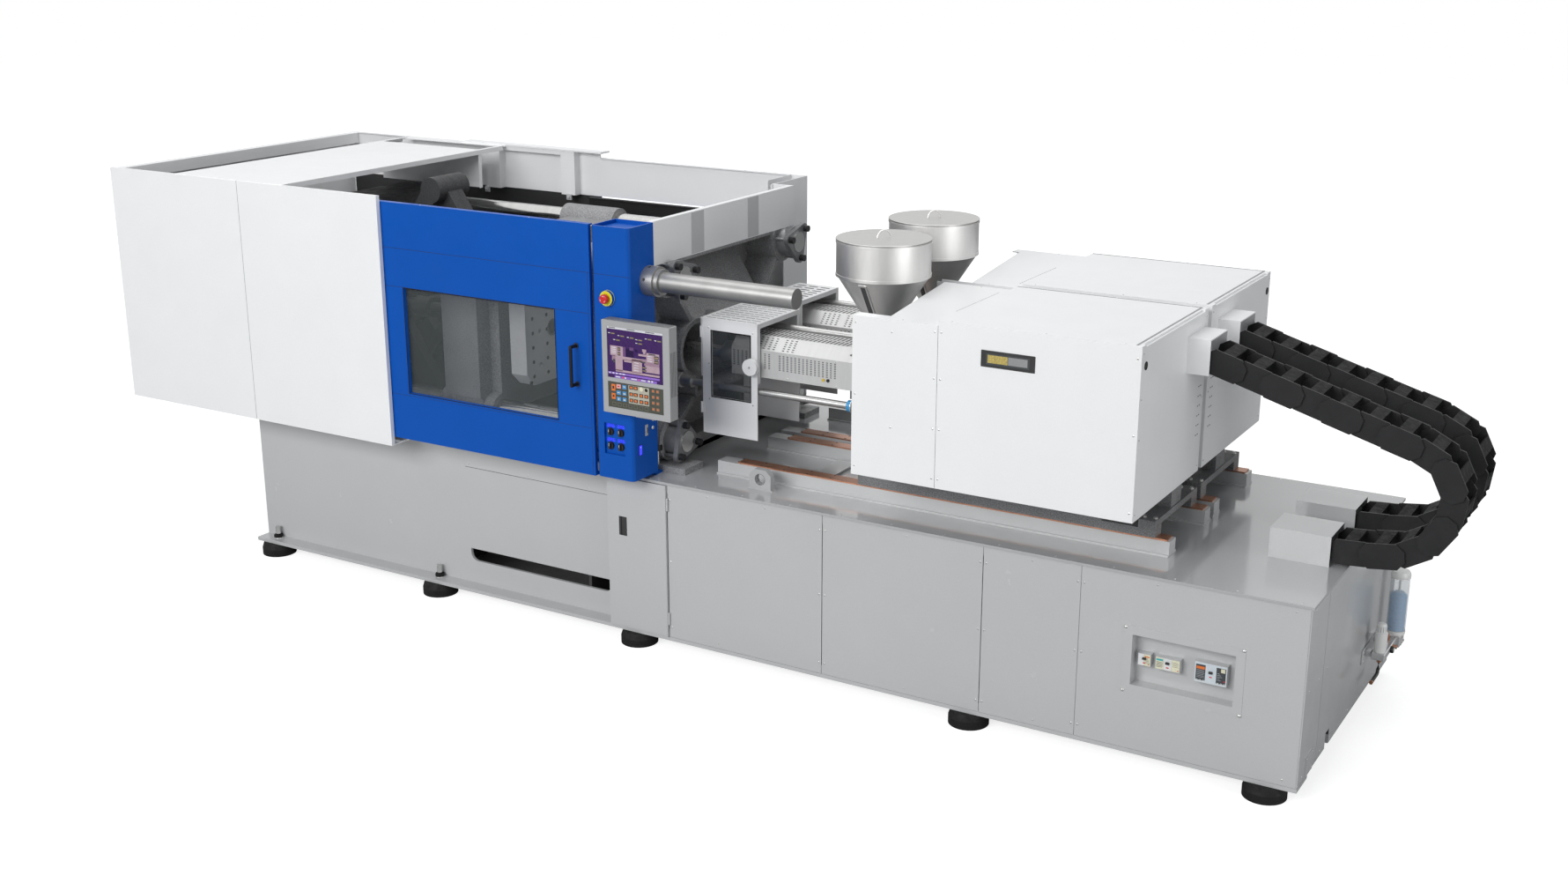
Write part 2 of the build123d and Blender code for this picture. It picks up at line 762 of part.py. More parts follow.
# Ball screw that pulls the crosshead, turning in the tail platen's bearing housing
def clamp_screw():
    axis = (centre_y, clamp_axis)
    screw = rod("x", (tail_back - 129.7, -4560.0), axis, screw_radius)
    screw += rod("x", (tail_back - 100, tail_face - 20), axis, screw_radius + 17.95)
    return [screw]


# Crosshead: nut, arms with guide bushes, and ears for the short links
def crosshead():
    x0 = pivots(1)[4][0]
    body = rod("x", (x0 - 70, x0 + 45), (centre_y, clamp_axis), 62)
    body += block((x0 - 35, x0 + 35), span(guide_offset), (clamp_axis - 40, clamp_axis + 40))
    for dy in (-guide_offset, guide_offset):
        body += rod("x", (x0 - 55, x0 + 45), (centre_y + dy, clamp_axis), 52)
    pins = []
    for level in (-1, 1):
        cross = pivots(level)[4]
        for y in cheeks(lug_half - 4, lug_half + 22):
            body += block((x0 - 35, x0 + 35), y, (clamp_axis, cross[1]))
            body += rod("y", y, cross, 42)
        body -= rod("y", span(lug_half - 4), cross, cross_eye + 4)
        body -= rod("y", span(lug_half + 23), cross, cross_pin + running_gap)
        pins.append(rod("y", span(lug_half + 22), cross, cross_pin))
    body -= rod("x", (x0 - 80, x0 + 80), (centre_y, clamp_axis), screw_radius + running_gap)
    for dy in (-guide_offset, guide_offset):
        body -= rod("x", (x0 - 80, x0 + 80), (centre_y + dy, clamp_axis), guide_radius + running_gap)
    return [body] + pins


# Short link from the crosshead to the rear toggle link
def cross_link(level):
    mid, cross = pivots(level)[3:5]
    y = span(lug_half - 6)
    link = link_bar(cross, mid, y, 34) + rod("y", y, cross, cross_eye) + rod("y", y, mid, cross_eye)
    link -= rod("y", span(lug_half), cross, cross_pin + running_gap)
    link -= rod("y", span(lug_half), mid, cross_pin + cross_play)
    return [link]


# Rear toggle link: two cheeks, two ties between them, and the knee pin
def rear_link(level):
    rear, knee, front, mid, cross = pivots(level)
    body = None
    for y in cheeks(cheek_inner, cheek_outer):
        cheek = link_bar(rear, knee, y, link_half)
        cheek += rod("y", y, rear, eye_radius) + rod("y", y, knee, eye_radius)
        body = cheek if body is None else body + cheek
    body += rod("y", span(cheek_inner), mid, cross_pin)
    tie = (rear[0] + 0.74 * reach_x, rear[1] + level * 0.74 * reach_z)
    body += rod("y", span(cheek_inner), tie, 30)
    body -= rod("y", span(cheek_outer + 1), rear, pin_radius + running_gap)
    body += rod("y", span(cheek_outer), knee, pin_radius)
    return [body]


# Front toggle link: one bar, with a knee eye that is wider than the pin
def front_link(level):
    rear, knee, front, mid, cross = pivots(level)
    y = span(lug_half)
    body = link_bar(front, knee, y, link_half)
    body += rod("y", y, front, eye_radius) + rod("y", y, knee, eye_radius)
    body -= rod("y", span(lug_half + 1), front, pin_radius + running_gap)
    body -= rod("y", span(lug_half + 1), knee, pin_radius + knee_play)
    return [body]


# Moving platen: box with bushes on the tie bars and fork ears for the toggle
def moving_platen():
    hw, hh = platen_half_width - 40, bar_pitch_z / 2 + 20
    y = span(hw)
    z = (clamp_axis - hh, clamp_axis + hh)
    body = block((moving_back + 60, moving_face), span(bar_pitch_y / 2), z)
    body = fillet(body.edges().filter_by(Axis.X), 60)
    side_z = (bar_z[0], bar_z[1])
    body += block((moving_back + 60, moving_face - 60), y, (side_z[0] + 60, side_z[1] - 60))
    body += block((moving_back, moving_face - 20), span(320), (clamp_axis - 230, clamp_axis + 230))
    for place in bar_places:
        body += rod("x", (moving_back, moving_face), place, 76)
    for y0 in span(hw - shoe_width / 2 - 20):
        foot_y = (y0 - shoe_width / 2, y0 + shoe_width / 2)
        body += block((moving_back + 20, moving_face - 20), foot_y, (bearing_height + slide_gap, z[0] + 20))
        body += block((moving_back + 60, moving_face - 60), foot_y, (z[0], side_z[0] + 70))
    for place in bar_places:
        body -= rod("x", (moving_back - 1, moving_face + 1), place, bar_radius + running_gap)
    pins = []
    for level in (-1, 1):
        front = pivots(level)[2]
        for y1 in cheeks(cheek_inner, cheek_outer):
            body += block((front[0], moving_back), y1, (front[1] - eye_radius, front[1] + eye_radius))
            body += rod("y", y1, front, eye_radius)
        body -= rod("y", span(cheek_outer + 1), front, pin_radius + running_gap)
        pins.append(rod("y", span(cheek_outer), front, pin_radius))
    axis = (centre_y, clamp_axis)
    body -= rod("x", (moving_back - 10, moving_face + 1), axis, ejector_radius + running_gap)
    return [body] + pins


# Turntable that carries the mould half: hub and drilled plate with cut corners
def rotary_table():
    face = moving_face + 56 + turntable_thick
    plate_z = (clamp_axis - turntable_half_height, clamp_axis + turntable_half_height)
    plate = block((moving_face + 56, face), span(turntable_half_width), plate_z)
    plate = chamfer(plate.edges().filter_by(Axis.X), turntable_corner)
    plate += rod("x", (moving_face + slide_gap, moving_face + 56), (centre_y, clamp_axis), turntable_hub)
    plate -= rod("x", (moving_face, face + 1), (centre_y, clamp_axis), ejector_radius + 3)
    for y0 in unit_y:
        for dy in (-100, 100):
            for dz in (-170, 0, 170):
                plate -= rod("x", (face - 40, face + 1), (y0 + dy, clamp_axis + dz), 12)
    return [plate]


# Ejector: rod through the moving platen with a cross plate behind it
def ejector():
    plate_x = (moving_back - ejector_travel - 28, moving_back - ejector_travel - 3)
    rod_x = (plate_x[0], moving_face + 40)
    axis = (centre_y, clamp_axis)
    body = rod("x", rod_x, axis, ejector_radius)
    body += block(plate_x, span(200), (clamp_axis - 34, clamp_axis + 34))
    return [body]


# Sheet covers of the clamp unit at the front, with door track and bottom flanges
def clamp_cover_front():
    t = sheet
    y0 = guard_front
    pieces = []
    for x in ((guard_left, guard_seam - 0.5), (guard_seam + 0.5, guard_right)):
        skin = block(x, (y0, y0 + t), (guard_bottom, guard_top))
        skin += block(x, (y0, y0 + guard_lip - 4), (guard_top - t, guard_top))
        skin += block((max(x[0], base_left + 2), x[1]), (y0, wall_inset), (guard_bottom, guard_bottom + t))
        if x[1] == guard_right:
            skin += block((x[1] - t, x[1]), (y0, y0 + guard_lip - 4), (guard_bottom, guard_top))
        pieces.append(skin)
    pieces.append(door_track())
    return pieces


def door_track():
    """Ledge beside the base with an upstand that carries the sliding door."""
    x = (track_left, cabinet_left - 2)
    z = (bearing_height - 6, bearing_height)
    track = block(x, (-62, wall_inset), z)
    track += block(x, (-62, -52), (z[0], z[1] + 20))
    track += block((base_left + 2, x[1]), (40, wall_inset), (z[1] - 28, z[1]))
    return track


# Roof sheet over the toggle, resting on the lips of the front and rear covers
def clamp_cover_top():
    x = (top_cover_left, top_cover_right)
    z = (guard_top, guard_top + 3)
    roof = block(x, (guard_front + 8, top_cover_back), z)
    for x0 in (x[0], x[1] - 24):
        roof += block((x0, x0 + 24), (top_cover_back - 1, guard_back - 70), z)
    edge_y = (guard_front + 24, guard_back - 92)
    roof += block((x[1] - 3, x[1]), edge_y, (z[0] - 22, z[1]))
    roof += block((x[0], x[0] + 3), edge_y, (z[0] - 22, z[1]))
    return [roof]


# Left end wall, rear cover, rear upper guard with its posts, and guards beside the platen
def clamp_cover_rear():
    t = sheet
    yb = guard_back
    skin = block((guard_left, guard_right), (yb - t, yb), (guard_bottom, guard_top))
    skin += block((guard_left, guard_right), (yb - guard_lip + 4, yb), (guard_top - t, guard_top))
    skin += block((base_left + 2, guard_right), (far - wall_inset, yb), (guard_bottom, guard_bottom + t))
    skin += block((guard_left, guard_left + t), (guard_front + t, yb), (guard_bottom, guard_top - t))
    floor_y = (guard_front + t, yb)
    skin += block((guard_left, base_left + 2), floor_y, (guard_bottom, guard_bottom + t))
    skin += block((guard_left, guard_left + 60), (guard_front + t, yb), (guard_top - t - 60, guard_top - t))
    top = block((guard_right, tower_left - 6), (yb - 9, yb - 4), (rear_window_level, door_top))
    top += block((guard_right, tower_left - 6), (yb - 24, yb - 4), (door_top - t, door_top))
    for x in (-5208.0, -4678.0):
        top += block((x, x + rear_post), (yb - 60, yb - 9), (rear_window_level, door_top + 4))
    top += block((-5208.0, guard_right), (yb - 9, yb - 5), (rear_window_level, door_top + 4))
    top += block((-5380.0, -4395.0), (yb - 66, yb + 14), (guard_top, guard_top + 9))
    top += block((-5208.0, -4583.0), (yb - 60, yb - 5), (door_top + 4, guard_top))
    skin += top
    rx = (-3227.0, -3130.0)
    tower = block(rx, (1385, yb), (bearing_height, tower_top))
    tower -= block((rx[0] + t, rx[1] - t), (1385 - 1, yb - t), (bearing_height - 1, tower_top + 1))
    tower += block((rx[1] - t, rx[1]), (1270, 1400), (platen_top + 4, tower_top))
    tower += block(rx, (far - wall_inset - 30, far - wall_inset), (bearing_height, bearing_height + 8))
    skin += tower + block((tower_left - 10, rx[0] + 1), (yb - 24, yb - 4), (rear_window_level, door_top))
    inner = block((tower_right - 5, tower_right), (tower_back, 1290), (clamp_axis + 459, door_top + 1))
    inner += block((tower_right - 30, tower_right), (tower_back, 1290), (door_top - 4, door_top + 1))
    inner += block((rx[1] - t, tower_right), (1285, 1290), (platen_top + 4, door_top + 1))
    skin += block((top_cover_left, top_cover_right), (yb - 90, yb), (guard_top - t, guard_top))
    return [skin, inner, mirrored(door_track())]


# Control tower: folded housing, with a recess for the selectors
def control_tower():
    t = tower_sheet
    x = (tower_left, tower_right)
    y = (door_front, door_front + tower_depth)
    z = (tower_bottom, tower_top)
    body = block(x, y, z)
    front = body.edges().filter_by(Axis.Z).group_by(Axis.Y)[0]
    body = fillet(front, tower_corner)
    inner = block((x[0] + t, x[1] - t), (y[0] + t, y[1] - t), (z[0] + t, z[1] - 3 * t))
    body -= inner
    body -= block((x[0] + t, x[1] - t), (y[0] + t, y[1] - t), (z[1] - 2 * t, z[1] + 1))
    body -= block((x[0] + 40, x[1] - 70), (y[0] + 30, y[0] + 60), (z[1] - 4 * t, z[1]))
    panel_x = (knob_x[0] - 28, knob_x[1] + 28)
    panel_z = (knob_z[1] - 38, knob_z[0] + 41)
    back = y[0] + knob_recess
    body += block((panel_x[0] - 4, panel_x[1] + 4), (y[0] + 2, back + 4), (panel_z[0] - 4, panel_z[1] + 4))
    body -= block(panel_x, (y[0] - 1, back), panel_z)
    for kx in knob_x:
        for kz in knob_z:
            body -= rod("y", (back - 1, back + 5), (kx, kz), 5 + running_gap)
    body -= rod("y", (y[0] - 1, y[0] + t + 1), (stop_x, stop_z), 12 + running_gap)
    foot = block((x[0] + 10, x[1] - 10), (y[1] - t, wall_inset + 40), (bearing_height, bearing_height + 10))
    foot += block((x[0] + 10, x[1] - 10), (y[1] - t, y[1]), (bearing_height, z[0] + 20))
    body += foot - block((table_left - 5, 0), (-200, 200), (0, bearing_height))
    cup = rod("y", (y[0] - 16, y[0]), (stop_x, stop_z), stop_radius)
    cup -= rod("y", (y[0] - 17, y[0] + 1), (stop_x, stop_z), 12 + running_gap)
    return [body, cup]


# Emergency stop button with its stem
def stop_button():
    y0 = door_front - 16
    cap = rod("y", (y0 - 26, y0 - stop_travel - 1), (stop_x, stop_z), 21)
    cap = fillet(cap.edges().group_by(Axis.Y)[0], 6)
    return [cap + rod("y", (y0 - stop_travel - 1, y0 + 30), (stop_x, stop_z), 12)]


# One selector knob: skirt, bar grip and shaft
def selector_knob(kx, kz):
    back = door_front + knob_recess
    knob = rod("y", (back - 8, back), (kx, kz), knob_radius)
    knob += block((kx - 4, kx + 4), (back - 19, back - 8), (kz - 14, kz + 14))
    return [knob + rod("y", (back, back + 12), (kx, kz), 5)]


# Operator panel: tray with a screen window, keypad window and arm to the tower
def hmi_panel():
    x = (hmi_right - hmi_width, hmi_right)
    y = (hmi_front, hmi_front + hmi_depth)
    z = (hmi_top - hmi_height, hmi_top)
    body = block(x, y, z)
    body = fillet(body.edges().filter_by(Axis.Y), 4)
    wide = (x[0] + hmi_margin, x[1] - hmi_margin - 8)
    screen = block(wide, (y[0] - 1, y[0] + 4), (z[1] - 257, z[1] - hmi_margin))
    keys = block(wide, (y[0] - 1, y[0] + 2), (z[0] + hmi_margin, z[0] + 144))
    body -= screen + keys
    arm = block((tower_left + 60, tower_right - 20), (y[1], door_front), (z[0] + 150, z[1] - 150))
    return [body, arm]


# Sliding operator door: skin with a window opening, hanging shoes and a bow handle
def operator_door():
    y = (door_front, door_front + door_thick)
    z = (door_bottom, door_top)
    door = block((door_left, door_right), y, z)
    door -= block((window_left, window_right), (y[0] - 1, y[1] + 1), (window_bottom, window_top))
    for level in ((z[0], z[0] + 16), (z[1] - 6, z[1])):
        door += block((door_left, door_right), (y[1], y[1] + 12), level)
    for x in (door_left + 120, door_right - 220):
        door += block((x, x + 100), (y[1] + 12, -46), (bearing_height + 20 + slide_gap, z[0] + 40))
    r = handle_radius
    out = y[0] - handle_proud
    grip = rod("z", (handle_low + r, handle_high - r), (handle_x, out), r)
    for level in (handle_low + r, handle_high - r):
        grip += rod("y", (out, y[0]), (handle_x, level), r)
        grip += Pos(handle_x, out, level) * Sphere(r)
    return [door, grip]


# Clear pane behind the window opening
def operator_window():
    y = (door_front + door_thick, door_front + door_thick + pane_thick)
    return [block((window_left - 15, window_right + 15), y, (window_bottom - 15, window_top + 15))]


# Sliding rear door, with shoes on the rear track
def rear_door():
    y = (far + 120 - door_thick, far + 120)
    z = (door_bottom, rear_window_level - 4)
    x = (door_left, tower_left - 12)
    door = block(x, y, z)
    for level in ((z[0], z[0] + 16), (z[1] - 6, z[1])):
        door += block(x, (y[0] - 12, y[0]), level)
    for x0 in (x[0] + 120, x[1] - 220):
        door += block((x0, x0 + 100), (far + 46, y[0] - 12), (bearing_height + 20 + slide_gap, z[0] + 40))
    for level in (handle_low, handle_high):
        door += rod("y", (y[1], y[1] + 40), (handle_x, level), 8)
    door += rod("z", (handle_low - 8, handle_high + 8), (handle_x, y[1] + 40), 8)
    return [door]


# Sheet guards over the nozzles, each held from the platen by a bar
def purge_guards():
    t = purge_sheet
    pieces = []
    for y0, right in ((purge_front, purge_right), (purge_second, purge_right_second)):
        x = (purge_left, right)
        y = (y0, y0 + purge_depth)
        z = (purge_bottom, purge_top)
        guard = block(x, y, (z[1] - t, z[1])) + block(x, (y[1] - t, y[1]), z)
        for x0 in (x[0], x[1] - t):
            ring = block((x0, x0 + t), (y[0] + 6, y[1]), (z[0] + 200, z[1]))
            ring -= block((x0 - 1, x0 + t + 1), (y[0] + 24, y[1] - 20), (z[0] + 199, z[1] - 22))
            cut_z = (clamp_axis - 163, clamp_axis - 83)
            guard += ring - block((x0 - 1, x0 + t + 1), (y[0], y[0] + 60), cut_z)
        if y0 == purge_second:
            guard += block(x, (y[0], y[0] + t), z)
            bar_y = (y[0], y[0] + 35)
        else:
            bar_y = (y[1] - 35, y[1])
        guard += block((platen_rib, x[0] + 30), bar_y, (purge_top - 90, purge_top - 66))
        pieces.append(guard)
    return pieces


# Hinged front panel of the first purge guard, with window frame, pane and knob
def purge_door():
    y = (purge_front - 1, purge_front + 4)
    x = (purge_left + 12, purge_right)
    z = (purge_bottom, purge_top - purge_sheet - slide_gap)
    door = block(x, y, z)
    glass_x = (x[0] + 50, x[1] - 38)
    glass_z = (clamp_axis - 170, clamp_axis + 136)
    door -= block(glass_x, (y[0] - 1, y[1] + 1), glass_z)
    pane = block((glass_x[0] - 7, glass_x[1] + 7), (y[1], y[1] + 2), (glass_z[0] - 7, glass_z[1] + 7))
    knob = rod("y", (y[0] - 26, y[0]), (x[1] - 22, clamp_axis), 12)
    knob = knob + rod("y", (y[0] - 34, y[0] - 12), (x[1] - 22, clamp_axis), 38)
    pin = (purge_left + 6, purge_front - 3)
    for level in (z[0] + 120, z[1] - 60):
        knuckle = rod("z", (level - 26, level + 26), pin, 5)
        door += knuckle + block((pin[0], x[0] + 8), (y[0] - 2, y[0] + 2), (level - 26, level + 26))
    return [door, pane, knob]


# Rail beds on the table for the two injection units
def rail_beds():
    half = bed_width / 2
    beds = []
    for y in bed_y:
        bed = block((bed_left, bed_right), (y - half, y + half), (table_top, table_top + bed_height))
        toe_y = (y - half - rail_toe, y + half + rail_toe)
        bed += block((bed_left, bed_right), toe_y, (table_top, table_top + 8))
        beds.append(bed)
    bridge = None
    lower = (table_top, table_top + 8)
    for a, b in ((0, 1), (2, 3)):
        tie_y = (bed_y[a] + half + rail_toe, bed_y[b] - half - rail_toe)
        ties = block((-2400, -2300), tie_y, (lower[0], lower[1] + 4))
        beds.append(ties)
    return beds


# Wear strips on the beds, with a ridged scraper plate before them
def wear_strips():
    half = bed_width / 2 - 5
    z = (table_top + bed_height, table_top + bed_height + strip_thick)
    strips = []
    for y in bed_y:
        strips.append(block((bed_left + strip_inset, bed_right - 12), (y - half, y + half), z))
    return strips


strip_top = table_top + bed_height + strip_thick


# Carriage: runners on the beds, plates, pedestal, hopper block and feet at the rear
def carriage(i):
    a, b = bed_y[2 * i], bed_y[2 * i + 1]
    y0 = unit_y[i]
    dx = unit_shift[i]
    low = strip_top + slide_gap
    half = bed_width / 2
    x = (carriage_left, carriage_right)
    body = None
    for y in (a, b):
        runner = block(x, (y - half, y + half), (low, low + 80))
        body = runner if body is None else body + runner
    for x0 in (x[0], drive_x, x[1] - 60):
        body += block((x0, x0 + 60), (a - half, b + half), (low + 20, low + 100))
    body += block((x[0], x[0] + 100), (y0 - 110, y0 + 110), (low + 90, clamp_axis - 90))
    body += block((x[0] - 110, x[0] + 150), (y0 - 100, y0 + 100), (clamp_axis - 100, clamp_axis + 100))
    body += block((drive_x, drive_x + 60), (y0 - 150, y0 + 150), (low + 90, clamp_axis + 150))
    body += block((x[1] - 60, x[1]), (y0 - 150, y0 + 150), (low + 90, cover_bottom + 30))
    body += rod("z", (clamp_axis + 90, clamp_axis + 150), (hopper_x + dx, y0), hopper_throat + 20)
    body -= rod("z", (clamp_axis, clamp_axis + 160), (hopper_x + dx, y0), hopper_throat - 6)
    for y, z in nut_places(y0):
        arm = block((x[0] - 60, x[0] - 20), (min(y, y0) - 26, max(y, y0) + 26), (z - 26, z + 26))
        body += arm + rod("x", (x[0] - 75, x[0] - 10), (y, z), 34)
        body += block((x[0] - 60, x[0] + 10), (y0 - 90, y0 + 90), tuple(sorted((z, clamp_axis))))
    body -= rod("x", (x[0] - 200, -1200), (y0, clamp_axis), barrel_radius)
    for y, z in nut_places(y0):
        body -= rod("x", (x[0] - 200, x[0] + 200), (y, z), traverse_radius + running_gap)
    body += rear_foot(a, b)
    return [body]


# Bridge at the right end of a carriage: an arch on both beds under the cover
def rear_foot(a, b):
    half = bed_width / 2
    x = (-778.0, -705.0)
    low = strip_top + slide_gap
    foot = None
    for y in (a, b):
        leg = block(x, (y - half, y + half), (low, low + 60))
        leg += block((carriage_right - 1, x[1]), (y - half, y + half), (low, low + 34))
        foot = leg if foot is None else foot + leg
    foot += block(x, (a - half, b + half), (low + 44, low + 70))
    mid = (a + b) / 2
    foot += block((x[0] + 6, x[1] - 6), (mid - 60, mid + 60), (low + 69, cover_bottom))
    return foot


# Cover shell of one injection unit: open at the left, stepped top, with a cable hood
def injection_cover(i):
    t = cover_sheet
    y = cover_y[i]
    x = (cover_left, cover_right)
    z = (cover_bottom, cover_top)
    shell = block((cover_seam, x[1]), y, z) + block((x[0], cover_seam + 1), y, (z[0], z[1] - cover_step))
    inner = (y[0] + t, y[1] - t)
    shell -= block((cover_seam + t, x[1] - 12), inner, (z[0] + t, z[1] - t))
    shell -= block((x[0] - 1, cover_seam + t + 1), inner, (z[0] + t, z[1] - cover_step - t))
    shell -= block((x[0] - 1, -1780.0), (unit_y[i] - 215, unit_y[i] + 190), (z[0] - 1, z[0] + 20))
    shell -= block((-1400, -900), (unit_y[i] - 165, unit_y[i] + 165), (z[0] - 1, z[0] + t + 1))
    front = y[0] + 60 if i == 0 else y[0] + t
    back = y[1] - t if i == 0 else y[1] - 60
    cut = [(x[0] - 1, front), (cover_shoulder + 54, front), (cover_shoulder - 55, back), (x[0] - 1, back)]
    shell -= in_xy(cut, z[1] - cover_step - 150, z[1])
    shell -= block((x[1] - 11, x[1] + 1), (y[0] + 46, y[1] - 46), (z[1] - 8, z[1] + 1))
    mid = (bed_y[2 * i] + bed_y[2 * i + 1]) / 2
    shell += block((-778 + 6, -705 - 6), (mid - 60, mid + 60), (z[0], z[0] + t))
    hx = (x[1] - 1, x[1] + hood_depth)
    hy = (chain_y[i] - 15, chain_y[i] + chain_width + 15)
    hood = block(hx, hy, hood_levels)
    hood -= block((x[1] - 0.5, hx[1] + 1), (hy[0] + 5, hy[1] - 5), (hood_levels[0] + 5, hood_levels[1] - 5))
    return [shell + hood]


# Barrel with its nozzle
def barrel(i):
    dx = unit_shift[i]
    axis = (unit_y[i], clamp_axis)
    tip = barrel_tip + dx
    body = rod("x", (tip + 240, barrel_end), axis, barrel_radius - running_gap)
    body += rod("x", (tip + 20, tip + 241), axis, 30)
    body += Pos(tip + 10, *axis) * Rot(0, 90, 0) * Cone(9, 20, 20)
    body -= rod("x", (tip + 260, -1500.0), axis, barrel_bore)
    body -= rod("x", (tip - 1, tip + 261), axis, 4)
    body -= rod("z", (clamp_axis, clamp_axis + 100), (hopper_x + dx, unit_y[i]), hopper_throat - 12)
    return [body]


# Plasticising screw, with the coupling that drives it
def injection_screw(i):
    dx = unit_shift[i]
    axis = (unit_y[i], clamp_axis)
    left = barrel_tip + dx + 312 + screw_stroke
    screw = rod("x", (left, -1480.0), axis, barrel_bore - running_gap)
    screw += Pos(left - 20, *axis) * Rot(0, 90, 0) * Cone(6, barrel_bore - running_gap, 40)
    screw += rod("x", (-1540.0, -1400.0), axis, 60)
    return [screw]


# Sheet cover around the barrel, with chamfered upper edges and a slot for the fittings
def barrel_cover(i):
    h = barrel_cover_half
    y0 = unit_y[i]
    c = barrel_cover_chamfer
    x = (barrel_cover_left, barrel_cover_right)
    z = (barrel_cover_bottom, barrel_cover_top)
    points = [(y0 - h, z[0]), (y0 + h, z[0]), (y0 + h, z[1] - c), (y0 + h - c, z[1])]
    points += [(y0 - h + c, z[1]), (y0 - h, z[1] - c)]
    shell = in_yz(points, x[0], x[1])
    t = 3.0
    inner = [(y0 - h + t, z[0] - 1), (y0 + h - t, z[0] - 1), (y0 + h - t, z[1] - c - t)]
    inner += [(y0 + h - c - t, z[1] - t), (y0 - h + c + t, z[1] - t), (y0 - h + t, z[1] - c - t)]
    shell -= in_yz(inner, x[0] + t, x[1] + 1)
    shell -= rod("x", (x[0] - 1, x[0] + t + 1), (y0, clamp_axis), barrel_radius + 4)
    pedestal_z = (clamp_axis - 102, clamp_axis + 102)
    shell -= block((carriage_left - 112, x[1] + 1), (y0 - 102, y0 + 102), pedestal_z)
    shell -= rod("z", (z[1] - t - 1, z[1] + 1), (hopper_x + unit_shift[i], y0), hopper_throat + 22)
    for x0 in (x[0] + 60, x[1] - 90):
        for side in (-1, 1):
            arm_y = tuple(sorted((y0 + side * (barrel_radius - 1), y0 + side * (h - t))))
            shell += block((x0, x0 + 20), arm_y, (clamp_axis - 10, clamp_axis + 10))
        shell -= rod("x", (x0 - 1, x0 + 21), (y0, clamp_axis), barrel_radius)
    return [shell]


# Hopper: straight drum, cone, throat and flange
def hopper(i):
    at = (hopper_x + unit_shift[i], unit_y[i])
    r, w = hopper_radius, hopper_wall
    z_top = hopper_top
    z_mid = z_top - hopper_straight
    z_low = hopper_cone_end
    outer = rod("z", (z_mid, z_top), at, r)
    outer += Pos(*at, (z_mid + z_low) / 2) * Cone(hopper_throat, r, z_mid - z_low)
    outer += rod("z", (clamp_axis + 158, z_low + 1), at, hopper_throat)
    outer += rod("z", (clamp_axis + 150, clamp_axis + 160), at, hopper_throat + 20)
    inner = rod("z", (z_mid, z_top + 1), at, r - w)
    inner += Pos(*at, (z_mid + z_low) / 2) * Cone(hopper_throat - w, r - w, z_mid - z_low)
    inner += rod("z", (clamp_axis + 140, z_low + 1), at, hopper_throat - w)
    return [outer - inner]


# Lift-off hopper lid with a rim and a bail
def hopper_lid(i):
    at = (hopper_x + unit_shift[i], unit_y[i])
    z = hopper_top + slide_gap
    lid = rod("z", (z, z + lid_thick), at, hopper_radius + 3)
    lid += rod("z", (z - 16, z + 1), at, hopper_radius - hopper_wall - 1)
    lid -= rod("z", (z - 17, z), at, hopper_radius - hopper_wall - 8)
    bow = Plane(origin=(at[0], at[1], z + lid_thick), x_dir=(0, 1, 0), z_dir=(1, 0, 0))
    ring = bow * (Circle(37) - Circle(30))
    bail = extrude(ring, 3.5, both=True)
    bail &= block((at[0] - 10, at[0] + 10), (at[1] - 50, at[1] + 50), (z + lid_thick - 1, z + 80))
    return [lid + bail]


# Traverse screws of the two units, from a flange at the platen to the carriages
def traverse_screws():
    pieces = []
    for y0 in unit_y:
        for y, z in nut_places(y0):
            screw = rod("x", (platen_rib, carriage_left + 40), (y, z), traverse_radius)
            screw += rod("x", (platen_rib, platen_rib + 60), (y, z), 28)
            screw += rod("x", (-2850.0, -2830.0), (y, z), traverse_radius + 2)
            pieces.append(screw)
    return pieces


def chain_nodes(i):
    """Pivot positions of a cable chain in x and z, walked along its centre line."""
    x, z = chain_start
    heading = radians(chain_slope)
    legs = [(880.0, 0.0)]
    for radius, turn in zip(chain_bend, chain_turn):
        legs.append((radius * radians(turn), -radians(turn)))
    legs.append((190.0, 0.0))
    places = []
    step = 0.5
    walked = 0.0
    for length, turn in legs:
        count = int(length / step)
        for _ in range(count):
            if len(places) * chain_pitch <= walked + 1e-6:
                places.append((x, z))
            x += step * cos(heading)
            z += step * sin(heading)
            heading += turn / count
            walked += step
    return places[: chain_links + 1]


# Cable chain: links with two side plates and two crossbars, wide and narrow in turn
def cable_chain(i):
    pieces = []
    places = chain_nodes(i)
    t = chain_plate
    h = chain_height / 2
    for n, (a, b) in enumerate(zip(places, places[1:])):
        angle = degrees(atan2(b[1] - a[1], b[0] - a[0]))
        mid = ((a[0] + b[0]) / 2, (a[1] + b[1]) / 2)
        inset = 0 if n % 2 == 0 else t + chain_play
        reach = chain_pitch / 2 + 26
        half = h if n % 2 == 0 else h - 1
        cut = 30.0
        side = [(-reach, -half + cut), (-reach + cut, -half), (reach - cut, -half), (reach, -half + cut)]
        side += [(reach, half - cut), (reach - cut, half), (-reach + cut, half), (-reach, half - cut)]
        y = (inset, chain_width - inset)
        link = in_xz(side, y[0], y[0] + t) + in_xz(side, y[1] - t, y[1])
        for level in (-half, half - 8):
            link += block((-26, 26), (y[0] + t - 1, y[1] - t + 1), (level, level + 8))
        pieces.append(Pos(mid[0], chain_y[i], mid[1]) * Rot(0, -angle, 0) * link)
    return pieces


